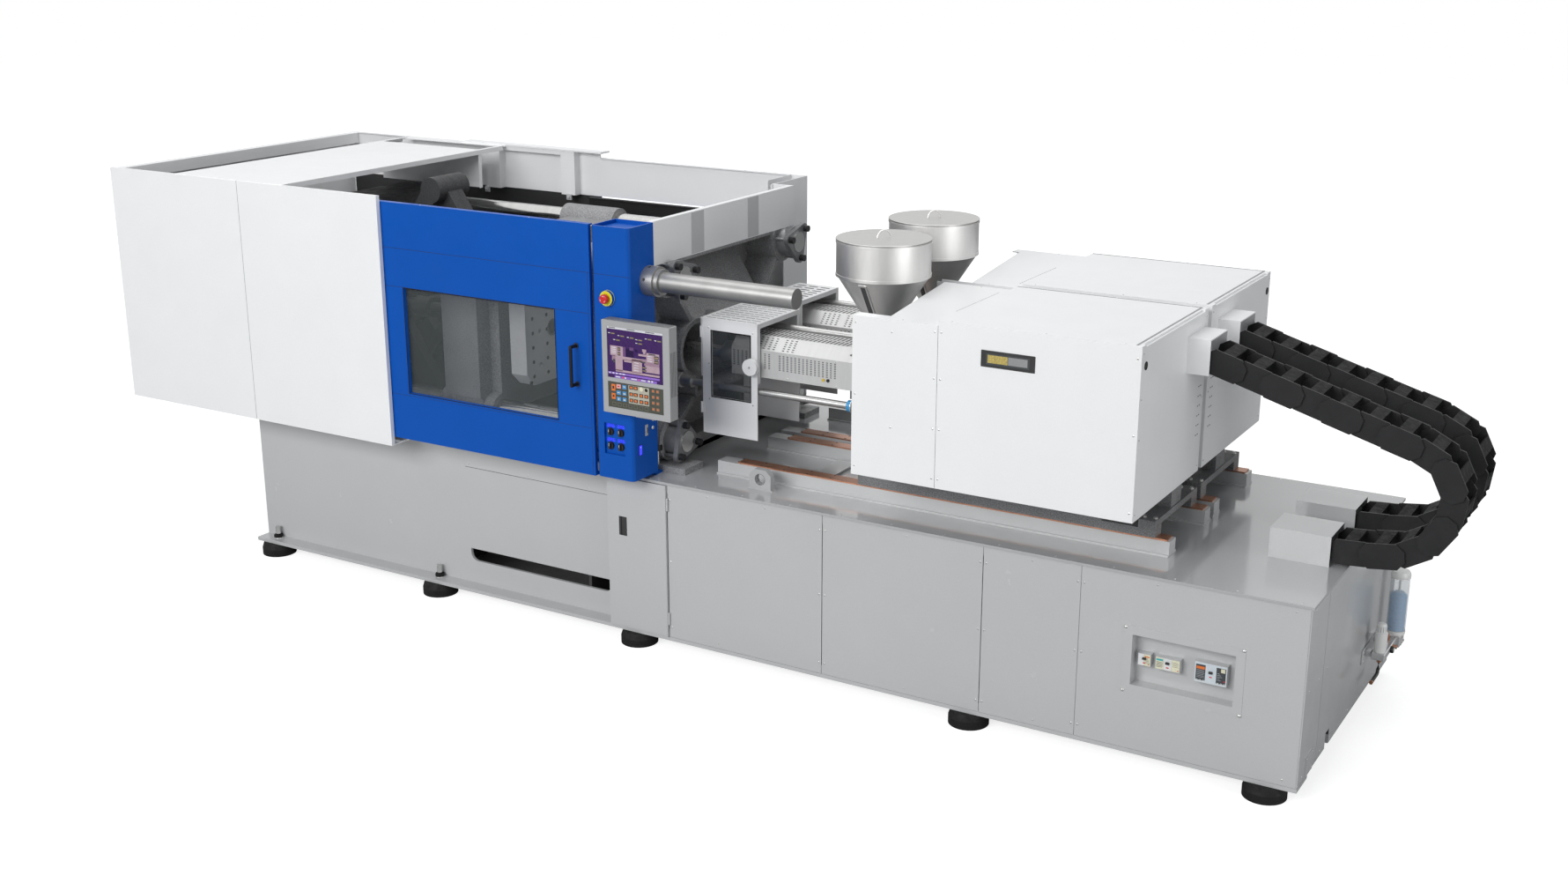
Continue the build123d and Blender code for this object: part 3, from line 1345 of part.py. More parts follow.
# Lubrication unit on the right end panel: plate, manifold, clear reservoir and regulator
def lubrication_unit():
    z0 = lube_z[0]
    plate = block((0, 6), (regulator_y - 60, lube_y + 60), (z0 - 64, z0))
    plate += block((0, 30), (lube_y - 30, lube_y + 30), (z0 - 50, z0 - 10))
    plate += block((0, 30), (regulator_y - 20, regulator_y + 20), (z0 - 36, z0 - 12))
    manifold = block((30, 105), (lube_y - 42, lube_y + 42), (z0 - 52, z0))
    manifold += block((34, 90), (regulator_y - 34, lube_y - 41), (z0 - 40, z0 - 8))
    glass = rod("z", (z0, lube_z[1]), (lube_x, lube_y), lube_radius)
    cap = rod("z", (lube_z[1], lube_z[1] + 26), (lube_x, lube_y), lube_radius - 6)
    regulator = rod("z", (z0 - 8, z0 + 90), (62, regulator_y), regulator_radius)
    regulator += rod("z", (z0 + 90, z0 + 130), (62, regulator_y), regulator_radius - 6)
    elbow = rod("z", (z0 - 124, z0 - 40), (62, regulator_y), 11)
    elbow += rod("y", (regulator_y - 120, regulator_y), (62, z0 - 109), 8)
    return [plate + manifold, glass, cap, regulator, elbow]


keep("base_frame", *base_frame())
keep("levelling_feet", *levelling_feet())
keep("base_cabinet", base_cabinet())
keep("table_plate", table_plate())
keep("base_panels", *base_panels())
keep("cabinet_door", *cabinet_door())
keep("breaker_box", *breaker_box())
for index, name in enumerate(("small", "medium", "large")):
    keep("breaker_lever_" + name, breaker_lever(index))
keep("fixed_platen", *fixed_platen())
keep("tie_bars", *tie_bars())
keep("tie_bar_nuts", *tie_bar_nuts())
keep("tail_platen", *tail_platen())
keep("clamp_screw", *clamp_screw())
keep("crosshead", *crosshead())
for name, level in (("top", 1), ("bottom", -1)):
    keep("cross_link_" + name, *cross_link(level))
    keep("rear_link_" + name, *rear_link(level))
    keep("front_link_" + name, *front_link(level))
keep("moving_platen", *moving_platen())
keep("rotary_table", *rotary_table())
keep("ejector", *ejector())
keep("clamp_cover_front", *clamp_cover_front())
keep("clamp_cover_top", *clamp_cover_top())
keep("clamp_cover_rear", *clamp_cover_rear())
keep("operator_door", *operator_door())
keep("operator_window", *operator_window())
keep("rear_door", *rear_door())
keep("control_tower", *control_tower())
keep("stop_button", *stop_button())
for number, (kx, kz) in enumerate([(a, b) for b in knob_z for a in knob_x], 1):
    keep(f"selector_knob_{number}", *selector_knob(kx, kz))
keep("hmi_panel", *hmi_panel())
keep("purge_guards", *purge_guards())
keep("purge_door", *purge_door())
keep("rail_beds", *rail_beds())
keep("wear_strips", *wear_strips())
keep("traverse_screws", *traverse_screws())
keep("lubrication_unit", *lubrication_unit())
for i, side in enumerate(("front", "rear")):
    keep("carriage_" + side, *carriage(i))
    keep("injection_cover_" + side, *injection_cover(i))
    keep("barrel_" + side, *barrel(i))
    keep("injection_screw_" + side, *injection_screw(i))
    keep("barrel_cover_" + side, *barrel_cover(i))
    keep("hopper_" + side, *hopper(i))
    keep("hopper_lid_" + side, *hopper_lid(i))
    keep("cable_chain_" + side, *cable_chain(i))

# The origin goes to the bottom centre of the whole machine
low = [min(min(getattr(s.bounding_box().min, k) for s in solids) for solids in nodes.values()) for k in "XYZ"]
high = []
for k in "XYZ":
    high.append(max(max(getattr(s.bounding_box().max, k) for s in solids) for solids in nodes.values()))
origin = ((low[0] + high[0]) / 2, (low[1] + high[1]) / 2, low[2])
shift = Pos(-origin[0], -origin[1], -origin[2])
for name, solids in nodes.items():
    moved = [shift * solid for solid in solids]
    export_step(moved[0] if len(moved) == 1 else Compound(children=moved), f"parts/{name}.step")
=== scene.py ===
"""Looks of the two-shot injection moulding machine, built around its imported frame."""
import math

import bmesh
import bpy
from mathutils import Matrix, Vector


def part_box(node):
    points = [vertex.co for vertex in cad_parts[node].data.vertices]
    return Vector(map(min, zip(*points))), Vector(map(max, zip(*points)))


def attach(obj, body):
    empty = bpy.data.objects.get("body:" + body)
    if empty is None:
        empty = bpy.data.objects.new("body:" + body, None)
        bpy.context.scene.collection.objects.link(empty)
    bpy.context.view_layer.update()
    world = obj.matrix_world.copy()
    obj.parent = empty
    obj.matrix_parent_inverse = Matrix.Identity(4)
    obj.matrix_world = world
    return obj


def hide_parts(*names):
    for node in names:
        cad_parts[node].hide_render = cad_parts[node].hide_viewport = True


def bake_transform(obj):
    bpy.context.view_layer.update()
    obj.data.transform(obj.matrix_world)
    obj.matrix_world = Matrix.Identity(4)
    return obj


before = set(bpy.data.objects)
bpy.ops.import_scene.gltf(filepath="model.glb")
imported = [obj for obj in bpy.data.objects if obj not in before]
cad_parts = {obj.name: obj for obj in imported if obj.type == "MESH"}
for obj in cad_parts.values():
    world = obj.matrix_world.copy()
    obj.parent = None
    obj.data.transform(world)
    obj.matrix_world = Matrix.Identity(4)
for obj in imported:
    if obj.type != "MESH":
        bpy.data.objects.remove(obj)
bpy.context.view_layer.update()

# Places are in millimetres from the right front corner of the base, on the floor
base_low, base_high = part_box("base_frame")
CORNER = Vector((base_high[0], base_low[1], 0.0))

# Faces, levels and places that come back in several pieces
TABLE_TOP = 840.0
CLAMP_AXIS = 1353.0
DOOR_FACE = -120.0
DOOR_TOP = 2009.0
TOWER_WALL = -3014.0
STOP_PLACE = (-3130, 1691)
RING_FACE = -136.7
SELECTOR_FACE = -108.0
SELECTORS = ((-3144, 1075), (-3088, 1075), (-3144, 1009), (-3088, 1009))
RECESS_FACE = 22.0
SCREEN_FACE, KEYS_FACE = -186.0, -188.0
TURNTABLE_FACE = -3900.0
COVER_TOP, COVER_STEP, COVER_END = 1770.0, 1750.0, -689.0
GUARD_TOP, GUARD_DOOR_FACE = 1546.0, 299.0
UNITS = ("front", "rear")
UNIT_Y = (455.0, 1025.0)
COVER_Y = ((-92.0, 690.0), (735.0, 1566.0))
BED_Y = ((272, 717), (842, 1307))
HOPPER_X = (-2068.0, -2108.0)
HOPPER_FOOT, HOPPER_FOOT_RADIUS = 1560.0, 46.0
HOPPER_SLOPE = (207.0 - HOPPER_FOOT_RADIUS) / 250.0


def at(x, y, z):
    """A place of the machine in the frame's metres."""
    return Vector((x / 1000, y / 1000, z / 1000)) + CORNER


# ------ materials
def nodes_of(mat):
    """The material's tree and its surface shader."""
    return mat.node_tree, mat.node_tree.nodes["Principled BSDF"]


def coord_of(tree):
    """Object coordinates, from the node that every finish has."""
    return next(n for n in tree.nodes if n.bl_idname == "ShaderNodeTexCoord").outputs["Object"]


def put(tree, kind, **values):
    """New node, with inputs and settings given by name."""
    node = tree.nodes.new(kind)
    for key, value in values.items():
        if key in node.inputs:
            node.inputs[key].default_value = value
        else:
            setattr(node, key, value)
    return node


def times(tree, first, second):
    """Product of two outputs."""
    node = put(tree, "ShaderNodeMath", operation="MULTIPLY")
    tree.links.new(first, node.inputs[0])
    tree.links.new(second, node.inputs[1])
    return node.outputs[0]


def noise(tree, place, scale, detail=3.0, rough=0.5):
    node = put(tree, "ShaderNodeTexNoise", Scale=scale, Detail=detail, Roughness=rough)
    tree.links.new(place, node.inputs["Vector"])
    return node.outputs["Fac"]


def spread(tree, source, low, high, start=0.3, end=0.7):
    """Maps an output from start..end to low..high."""
    node = put(tree, "ShaderNodeMapRange")
    node.inputs["From Min"].default_value = start
    node.inputs["From Max"].default_value = end
    node.inputs["To Min"].default_value = low
    node.inputs["To Max"].default_value = high
    tree.links.new(source, node.inputs["Value"])
    return node.outputs["Result"]


def shade(tree, color, factor):
    """The colour times a varying factor."""
    node = put(tree, "ShaderNodeMix", data_type="RGBA", blend_type="MULTIPLY")
    node.inputs["Factor"].default_value = 1.0
    node.inputs["A"].default_value = (*color, 1.0)
    tree.links.new(factor, node.inputs["B"])
    return node.outputs["Result"]


def emboss(tree, bsdf, height, strength, distance):
    """Relief from a height output."""
    relief = put(tree, "ShaderNodeBump", Strength=strength, Distance=distance)
    tree.links.new(height, relief.inputs["Height"])
    tree.links.new(relief.outputs["Normal"], bsdf.inputs["Normal"])


def finish(name, color, rough, metal=0.0, coat=0.0, vary=0.04, scale=2.5, grain=0.0, grain_scale=260.0,
           bump=0.0, bump_scale=900.0, stretch=(1, 1, 1), smear=0.25, specular=0.5):
    """A surface with slow colour drift, fine grain, varying gloss and a shallow relief."""
    mat = bpy.data.materials.new(name)
    mat.use_nodes = True
    tree, bsdf = nodes_of(mat)
    bsdf.inputs["Metallic"].default_value = metal
    bsdf.inputs["Coat Weight"].default_value = coat
    bsdf.inputs["Coat Roughness"].default_value = 0.08
    bsdf.inputs["Specular IOR Level"].default_value = specular
    coord = put(tree, "ShaderNodeTexCoord").outputs["Object"]
    turn = put(tree, "ShaderNodeMapping", Scale=stretch)
    tree.links.new(coord, turn.inputs["Vector"])
    place = turn.outputs["Vector"]
    factor = spread(tree, noise(tree, place, scale, 4.0, 0.6), 1 - vary, 1 + vary)
    if grain:
        fine = noise(tree, place, grain_scale, 2.0)
        factor = times(tree, factor, spread(tree, fine, 1 - grain, 1 + grain, 0.35, 0.65))
    tree.links.new(shade(tree, color, factor), bsdf.inputs["Base Color"])
    gloss = noise(tree, place, scale * 3.1, 5.0, 0.65)
    tree.links.new(spread(tree, gloss, rough * (1 - smear), rough * (1 + smear)), bsdf.inputs["Roughness"])
    if bump:
        emboss(tree, bsdf, noise(tree, place, bump_scale, 2.0), 0.35, bump)
    return mat


def see_through(name, color, alpha, rough=0.06):
    mat = finish(name, color, rough, vary=0.06, scale=1.5, specular=0.7)
    nodes_of(mat)[1].inputs["Alpha"].default_value = alpha
    mat.surface_render_method = "BLENDED"
    return mat


def lit(name, color, strength):
    """A surface that glows in its own colour."""
    mat = finish(name, color, 0.3, vary=0.1, scale=40.0, specular=0.15)
    bsdf = nodes_of(mat)[1]
    bsdf.inputs["Emission Color"].default_value = (*color, 1.0)
    bsdf.inputs["Emission Strength"].default_value = strength
    return mat


def inside(mat, color, rough, metal=0.0, alpha=None, x=None, y=None, z=None):
    """Another colour, with its own roughness, metal and alpha where given, on the part of a surface that
    lies between the given machine places: a real second finish, or painted shade.
    """
    tree, bsdf = nodes_of(mat)
    coord = coord_of(tree)
    parts = put(tree, "ShaderNodeSeparateXYZ")
    tree.links.new(coord, parts.inputs[0])
    mask = None
    for k, span in enumerate((x, y, z)):
        for side, limit in enumerate(span or ()):
            if limit is None:
                continue
            test = put(tree, "ShaderNodeMath", operation="LESS_THAN" if side else "GREATER_THAN")
            tree.links.new(parts.outputs[k], test.inputs[0])
            test.inputs[1].default_value = limit / 1000 + CORNER[k]
            mask = times(tree, mask, test.outputs[0]) if mask else test.outputs[0]
    first = bsdf.inputs["Base Color"].links[0].from_socket
    second = shade(tree, color, spread(tree, noise(tree, coord, 9.0, 4.0, 0.6), 0.9, 1.1))
    blend = put(tree, "ShaderNodeMix", data_type="RGBA")
    tree.links.new(mask, blend.inputs["Factor"])
    tree.links.new(first, blend.inputs["A"])
    tree.links.new(second, blend.inputs["B"])
    tree.links.new(blend.outputs["Result"], bsdf.inputs["Base Color"])
    for name, value in (("Roughness", rough), ("Metallic", metal), ("Alpha", alpha)):
        if value is None:
            continue
        socket = bsdf.inputs[name]
        mixed = put(tree, "ShaderNodeMix", data_type="FLOAT")
        tree.links.new(mask, mixed.inputs["Factor"])
        if socket.links:
            tree.links.new(socket.links[0].from_socket, mixed.inputs["A"])
        else:
            mixed.inputs["A"].default_value = socket.default_value
        mixed.inputs["B"].default_value = value
        tree.links.new(mixed.outputs["Result"], socket)
    return mat


WHITE_TONE = (0.84, 0.845, 0.85)
GREY_TONE = (0.50, 0.505, 0.51)
BLUE_TONE = (0.002, 0.082, 0.42)
BLACK_TONE = (0.018, 0.018, 0.019)
SHEET = dict(rough=0.42, coat=0.12, vary=0.012, grain=0.01, bump=0.0002)
ENAMEL = dict(rough=0.22, coat=0.35, vary=0.02, scale=1.4, grain=0.015, bump=0.0001)
LACQUER = dict(rough=0.4, vary=0.03, grain=0.02, bump=0.0002, specular=0.15)
CAST = dict(scale=5, grain=0.30, grain_scale=180, bump=0.0008)
GROUND = dict(rough=0.16, metal=1.0, vary=0.05, scale=3, grain=0.03, stretch=(12, 1, 1))
STAINLESS = dict(rough=0.42, metal=1.0, vary=0.03, scale=5, grain=0.02, grain_scale=300,
                 stretch=(6, 6, 1), smear=0.1)
MOULDED = dict(vary=0.12, scale=12, grain=0.12, grain_scale=500, bump=0.0003)
TYRE = dict(rough=0.65, vary=0.2, scale=14, grain=0.25, grain_scale=300, specular=0.2)

WHITE = finish("cover_white", WHITE_TONE, **SHEET)
GREY = finish("base_grey", GREY_TONE, **ENAMEL)
GREY_MATT = finish("base_grey_matt", (0.47, 0.475, 0.48), 0.42, vary=0.03, grain=0.03, bump=0.0002)
GREY_DARK = finish("frame_grey", (0.27, 0.275, 0.28), 0.45, vary=0.06, grain=0.05, bump=0.0003)
BLUE = finish("door_blue", BLUE_TONE, **LACQUER)
CASTING = finish("casting_grey", (0.27, 0.27, 0.275), 0.5, vary=0.10, bump_scale=300, **CAST)
CASTING_DARK = finish("casting_dark", (0.17, 0.172, 0.176), 0.5, vary=0.12, bump_scale=300, **CAST)
# toggle links: dark cast iron, darkened further by painted shade
LINKS_DARK_SHADED = finish("link_casting_dark_shaded", (0.045, 0.046, 0.048), 0.55, vary=0.12, specular=0.3, **CAST)
MACHINED = finish("machined_steel", (0.46, 0.46, 0.455), 0.32, metal=0.9, vary=0.07, scale=6,
                  grain=0.08, bump=0.0001, stretch=(1, 6, 1))
CHROME = finish("ground_bar", (0.62, 0.62, 0.61), **GROUND)
POLISHED = finish("polished_stainless", (0.66, 0.655, 0.645), **STAINLESS)
# darker copy of the hopper stainless for the lids: painted shade
LID_SHADED = finish("lid_stainless_shaded", (0.45, 0.448, 0.44), **STAINLESS)
BRUSHED = finish("brushed_stainless", (0.60, 0.60, 0.595), 0.38, metal=0.25, vary=0.03, scale=8,
                 grain=0.04, grain_scale=500, stretch=(9, 1, 1))
OXIDE = finish("black_oxide", (0.022, 0.022, 0.024), 0.38, metal=0.4, vary=0.2, scale=30, grain=0.15)
BLACK = finish("black_plastic", BLACK_TONE, 0.5, **MOULDED)
CHAIN = finish("chain_black", (0.020, 0.020, 0.021), 0.5, specular=0.2, **MOULDED)
# darker copy of the chain plastic for the bars: painted shade on their lit tops
CHAIN_BAR_SHADED = finish("chain_bar_shaded", (0.014, 0.014, 0.0145), 0.6, specular=0.06, **MOULDED)
RUBBER = finish("foot_rubber", (0.010, 0.010, 0.010), bump=0.0006, **TYRE)
COPPER = finish("wear_bronze", (0.40, 0.19, 0.115), 0.34, metal=0.75, vary=0.12, scale=14,
                grain=0.12, stretch=(1, 5, 1))
ZINC = finish("zinc_screws", (0.62, 0.62, 0.61), 0.3, metal=0.85, vary=0.08, scale=60, grain=0.05)
ALUMINIUM = finish("aluminium_blocks", (0.60, 0.605, 0.61), 0.36, metal=0.8, vary=0.06, scale=30,
                   grain=0.08, bump=0.0001)
PLATE_STEEL = finish("turntable_steel", (0.74, 0.74, 0.735), 0.42, metal=0.1, vary=0.06, scale=9,
                     grain=0.1, bump=0.0002)
TABLE = finish("table_gloss", (0.42, 0.425, 0.43), 0.13, coat=0.5, vary=0.02, scale=1.4, grain=0.015)
WHITE_PLASTIC = finish("white_plastic", (0.80, 0.80, 0.79), 0.35, coat=0.2, vary=0.03, scale=20, bump=0.0001)
PALE = finish("pale_plastic", (0.72, 0.73, 0.73), 0.4, vary=0.03, scale=60)
PANEL_GREY = finish("panel_grey", (0.37, 0.375, 0.38), 0.42, vary=0.02, scale=8, grain=0.03, bump=0.0002)
STRIP_GREY = finish("strip_grey", (0.52, 0.525, 0.53), 0.4, vary=0.02, scale=8, grain=0.02)
BASE_SHADE_SHEET = finish("base_shade_dark", (0.10, 0.10, 0.10), 0.5, vary=0.15, scale=6, grain=0.1)
SEAM = finish("seam_grey", (0.30, 0.30, 0.305), 0.6, vary=0.05, scale=40)
SHADOW = finish("gap_dark", (0.05, 0.05, 0.052), 0.7, vary=0.15, scale=40)
# thin blue-black marks: painted shade along the folds and steps of the blue sheet
SHADE_LINE_BLUE = finish("shade_line_blue", (0.001, 0.014, 0.075), 0.6, vary=0.05, scale=20)
ACCENT_BLUE = finish("accent_blue", (0.03, 0.30, 0.62), 0.35, coat=0.15, vary=0.06, scale=40)
RED = finish("stop_red", (0.60, 0.012, 0.014), 0.3, coat=0.3, vary=0.05, scale=30)
YELLOW = finish("stop_yellow", (0.72, 0.66, 0.02), 0.35, coat=0.2, vary=0.04, scale=30, bump=0.0001)
GOLD = finish("signal_yellow", (0.62, 0.46, 0.06), 0.35, vary=0.06, scale=60)
DISPLAY_GOLD = finish("display_gold", (0.46, 0.36, 0.10), 0.45, vary=0.25, scale=120,
                      grain=0.2, grain_scale=300)
ORANGE = finish("label_orange", (0.72, 0.17, 0.03), 0.45, vary=0.06, scale=80)
TEAL = finish("label_teal", (0.05, 0.40, 0.44), 0.45, vary=0.06, scale=80)
PALE_BLUE = finish("breaker_case", (0.60, 0.66, 0.70), 0.4, vary=0.04, scale=60, bump=0.0001)
LABEL_CREAM = finish("label_cream", (0.70, 0.68, 0.50), 0.5, vary=0.05, scale=90)
LABEL_DARK = finish("label_dark", (0.045, 0.05, 0.055), 0.5, vary=0.12, scale=90)
LABEL_GREY = finish("label_grey", (0.30, 0.32, 0.34), 0.5, vary=0.1, scale=90)
LABEL_TEXT = finish("label_marks", (0.16, 0.16, 0.17), 0.5, vary=0.15, scale=200)
OLIVE = finish("keypad_olive", (0.052, 0.056, 0.042), 0.55, vary=0.06, scale=30, bump=0.0001)
KEY_BEIGE = finish("keypad_beige", (0.42, 0.40, 0.33), 0.5, vary=0.04, scale=40)
KEY_TAN = finish("key_tan", (0.26, 0.15, 0.10), 0.5, vary=0.08, scale=60)
KEY_PINK = finish("key_pink", (0.72, 0.36, 0.34), 0.45, vary=0.05, scale=60)
KEY_BLUE = finish("key_blue", (0.07, 0.26, 0.55), 0.45, vary=0.05, scale=60)
KEY_LINE = finish("key_outline", (0.20, 0.20, 0.16), 0.5, vary=0.05, scale=60)
LED_BLUE = lit("lit_blue", (0.04, 0.05, 0.9), 1.2)
LED_GLOW = lit("lit_legend", (0.02, 0.05, 0.62), 0.35)
SCREEN_NIGHT = lit("screen_purple", (0.040, 0.016, 0.085), 0.30)
SCREEN_WHITE = lit("screen_white", (0.55, 0.55, 0.59), 0.20)
SCREEN_TAN = lit("screen_tan", (0.28, 0.19, 0.12), 0.24)
SCREEN_DEEP = lit("screen_deep", (0.018, 0.008, 0.045), 0.24)
SCREEN_PLUM = lit("screen_plum", (0.12, 0.06, 0.16), 0.24)
SCREEN_BEIGE = lit("screen_beige", (0.36, 0.26, 0.30), 0.22)
SCREEN_MAUVE = lit("screen_mauve", (0.26, 0.17, 0.22), 0.24)
SCREEN_LILAC = lit("screen_lilac", (0.20, 0.11, 0.42), 0.27)
SCREEN_RED = lit("screen_red", (0.60, 0.06, 0.10), 0.30)
PANE = see_through("window_pane", (0.12, 0.14, 0.142), 0.22)
CLEAR = see_through("reservoir_clear", (0.80, 0.84, 0.86), 0.28)

THREAD = finish("screw_thread", (0.44, 0.44, 0.435), 0.34, metal=0.9, vary=0.06, scale=8, grain=0.05)
tree, bsdf = nodes_of(THREAD)
wave = put(tree, "ShaderNodeTexWave", Scale=39.0, bands_direction="X")
tree.links.new(coord_of(tree), wave.inputs["Vector"])
emboss(tree, bsdf, wave.outputs["Fac"], 0.3, 0.001)

# Solids with a second colour on a part of them: a real second finish, or painted shade in hollows and on
# shaded parts
# the inside of the base frame, between its front and rear walls, is painted near black: painted shade
FRAME_INSIDE_SHADE = inside(finish("frame_plate_inside_shade", GREY_TONE, **ENAMEL), (0.03, 0.03, 0.031), 0.6,
               y=(93.0, 1387.0), z=(84.0, None))
# the floor of the door's handle cup is painted near black: painted shade in the recess
SIDE_DOOR_CUP_SHADE = inside(finish("side_door_grey_cup_shade", GREY_TONE, **ENAMEL), (0.02, 0.02, 0.021), 0.45,
                   x=(-3184.2, -3139.8), z=(543.8, 636.2))
DOOR = inside(finish("sliding_door_blue", BLUE_TONE, **LACQUER), BLACK_TONE, 0.4, y=(None, -120.4))
# the inner face of the rear door is painted black: painted shade of the dark space behind the guard
BACK_DOOR_INNER_SHADE = inside(finish("rear_door_blue_inner_shade", BLUE_TONE, **LACQUER), BLACK_TONE, 0.5, y=(None, 1599.5))
# the rear cover below 1793 mm is painted black: painted shade of the dark space under the roof
BACK_COVER_LOW_SHADE = inside(finish("rear_cover_white_low_shade", WHITE_TONE, **SHEET), BLACK_TONE, 0.5,
                    x=(-6280.0, -4443.5), y=(1560.0, 1622.0), z=(None, 1793.0))
GUARD_DOOR = inside(finish("guard_door_white", WHITE_TONE, **SHEET), (0.06, 0.07, 0.072), 0.06,
                    alpha=0.26, x=(-2870.0, -2650.0), y=(303.5, None), z=(1176.0, 1496.0))
GUARD_DOOR.surface_render_method = "BLENDED"
FEET = inside(finish("foot_black", (0.010, 0.010, 0.010), **TYRE), (0.55, 0.55, 0.54), 0.35,
              metal=0.8, z=(106.0, None))
NUTS = inside(finish("clamp_plate_grey", (0.24, 0.245, 0.25), 0.4, metal=0.5, vary=0.08, scale=6,
                     grain=0.1, bump=0.0002), (0.022, 0.022, 0.024), 0.38, metal=0.4, x=(-2960.8, None))
# the front upper tie bar's end beside the tower wall is painted darker grey: painted shade
BARS_FRONT_SHADE = inside(finish("tie_bar_ground_front_shade", (0.66, 0.66, 0.65), **GROUND), (0.33, 0.33, 0.325), 0.4,
              metal=0.8, x=(-3015.0, None), y=(None, 120.0), z=(1600.0, None))

LOOKS = {
    GREY: ["base_cabinet", "base_panels", "breaker_box", "rail_beds"],
    TABLE: ["table_plate"],
    FRAME_INSIDE_SHADE: ["base_frame"],
    SIDE_DOOR_CUP_SHADE: ["cabinet_door"],
    FEET: ["levelling_feet"],
    CASTING: ["fixed_platen", "moving_platen"],
    CASTING_DARK: ["carriage_front", "carriage_rear"],
    LINKS_DARK_SHADED: ["tail_platen", "crosshead", "rear_link_top", "rear_link_bottom", "front_link_top",
            "front_link_bottom", "cross_link_top", "cross_link_bottom"],
    CHROME: ["clamp_screw", "ejector"],
    BARS_FRONT_SHADE: ["tie_bars"],
    NUTS: ["tie_bar_nuts"],
    THREAD: ["traverse_screws"],
    PLATE_STEEL: ["rotary_table"],
    MACHINED: ["barrel_front", "barrel_rear", "injection_screw_front", "injection_screw_rear"],
    WHITE: ["clamp_cover_front", "clamp_cover_top", "purge_guards",
            "injection_cover_front", "injection_cover_rear"],
    BACK_COVER_LOW_SHADE: ["clamp_cover_rear"],
    GUARD_DOOR: ["purge_door"],
    PANEL_GREY: ["hmi_panel"],
    BRUSHED: ["barrel_cover_front", "barrel_cover_rear"],
    POLISHED: ["hopper_front", "hopper_rear", "hopper_lid_front", "hopper_lid_rear"],
    BLUE: ["control_tower"],
    DOOR: ["operator_door"],
    BACK_DOOR_INNER_SHADE: ["rear_door"],
    PANE: ["operator_window"],
    RED: ["stop_button"],
    BLACK: ["selector_knob_1", "selector_knob_2", "selector_knob_3", "selector_knob_4",
            "breaker_lever_small", "breaker_lever_medium", "breaker_lever_large", "lubrication_unit"],
    CHAIN: ["cable_chain_front", "cable_chain_rear"],
    COPPER: ["wear_strips"],
}
for look, names in LOOKS.items():
    for node_name in names:
        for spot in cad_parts[node_name].material_slots:
            spot.material = look


# ------ mesh building
def circle(axis, level, across, radius, sides, turn=0.0):
    """Places around a centre, in the plane at a level of one axis."""
    places = []
    for i in range(sides):
        a = 2 * math.pi * i / sides + turn
        v = [across[0] + radius * math.cos(a), across[1] + radius * math.sin(a)]
        v.insert("xyz".index(axis), level)
        places.append(v)
    return places


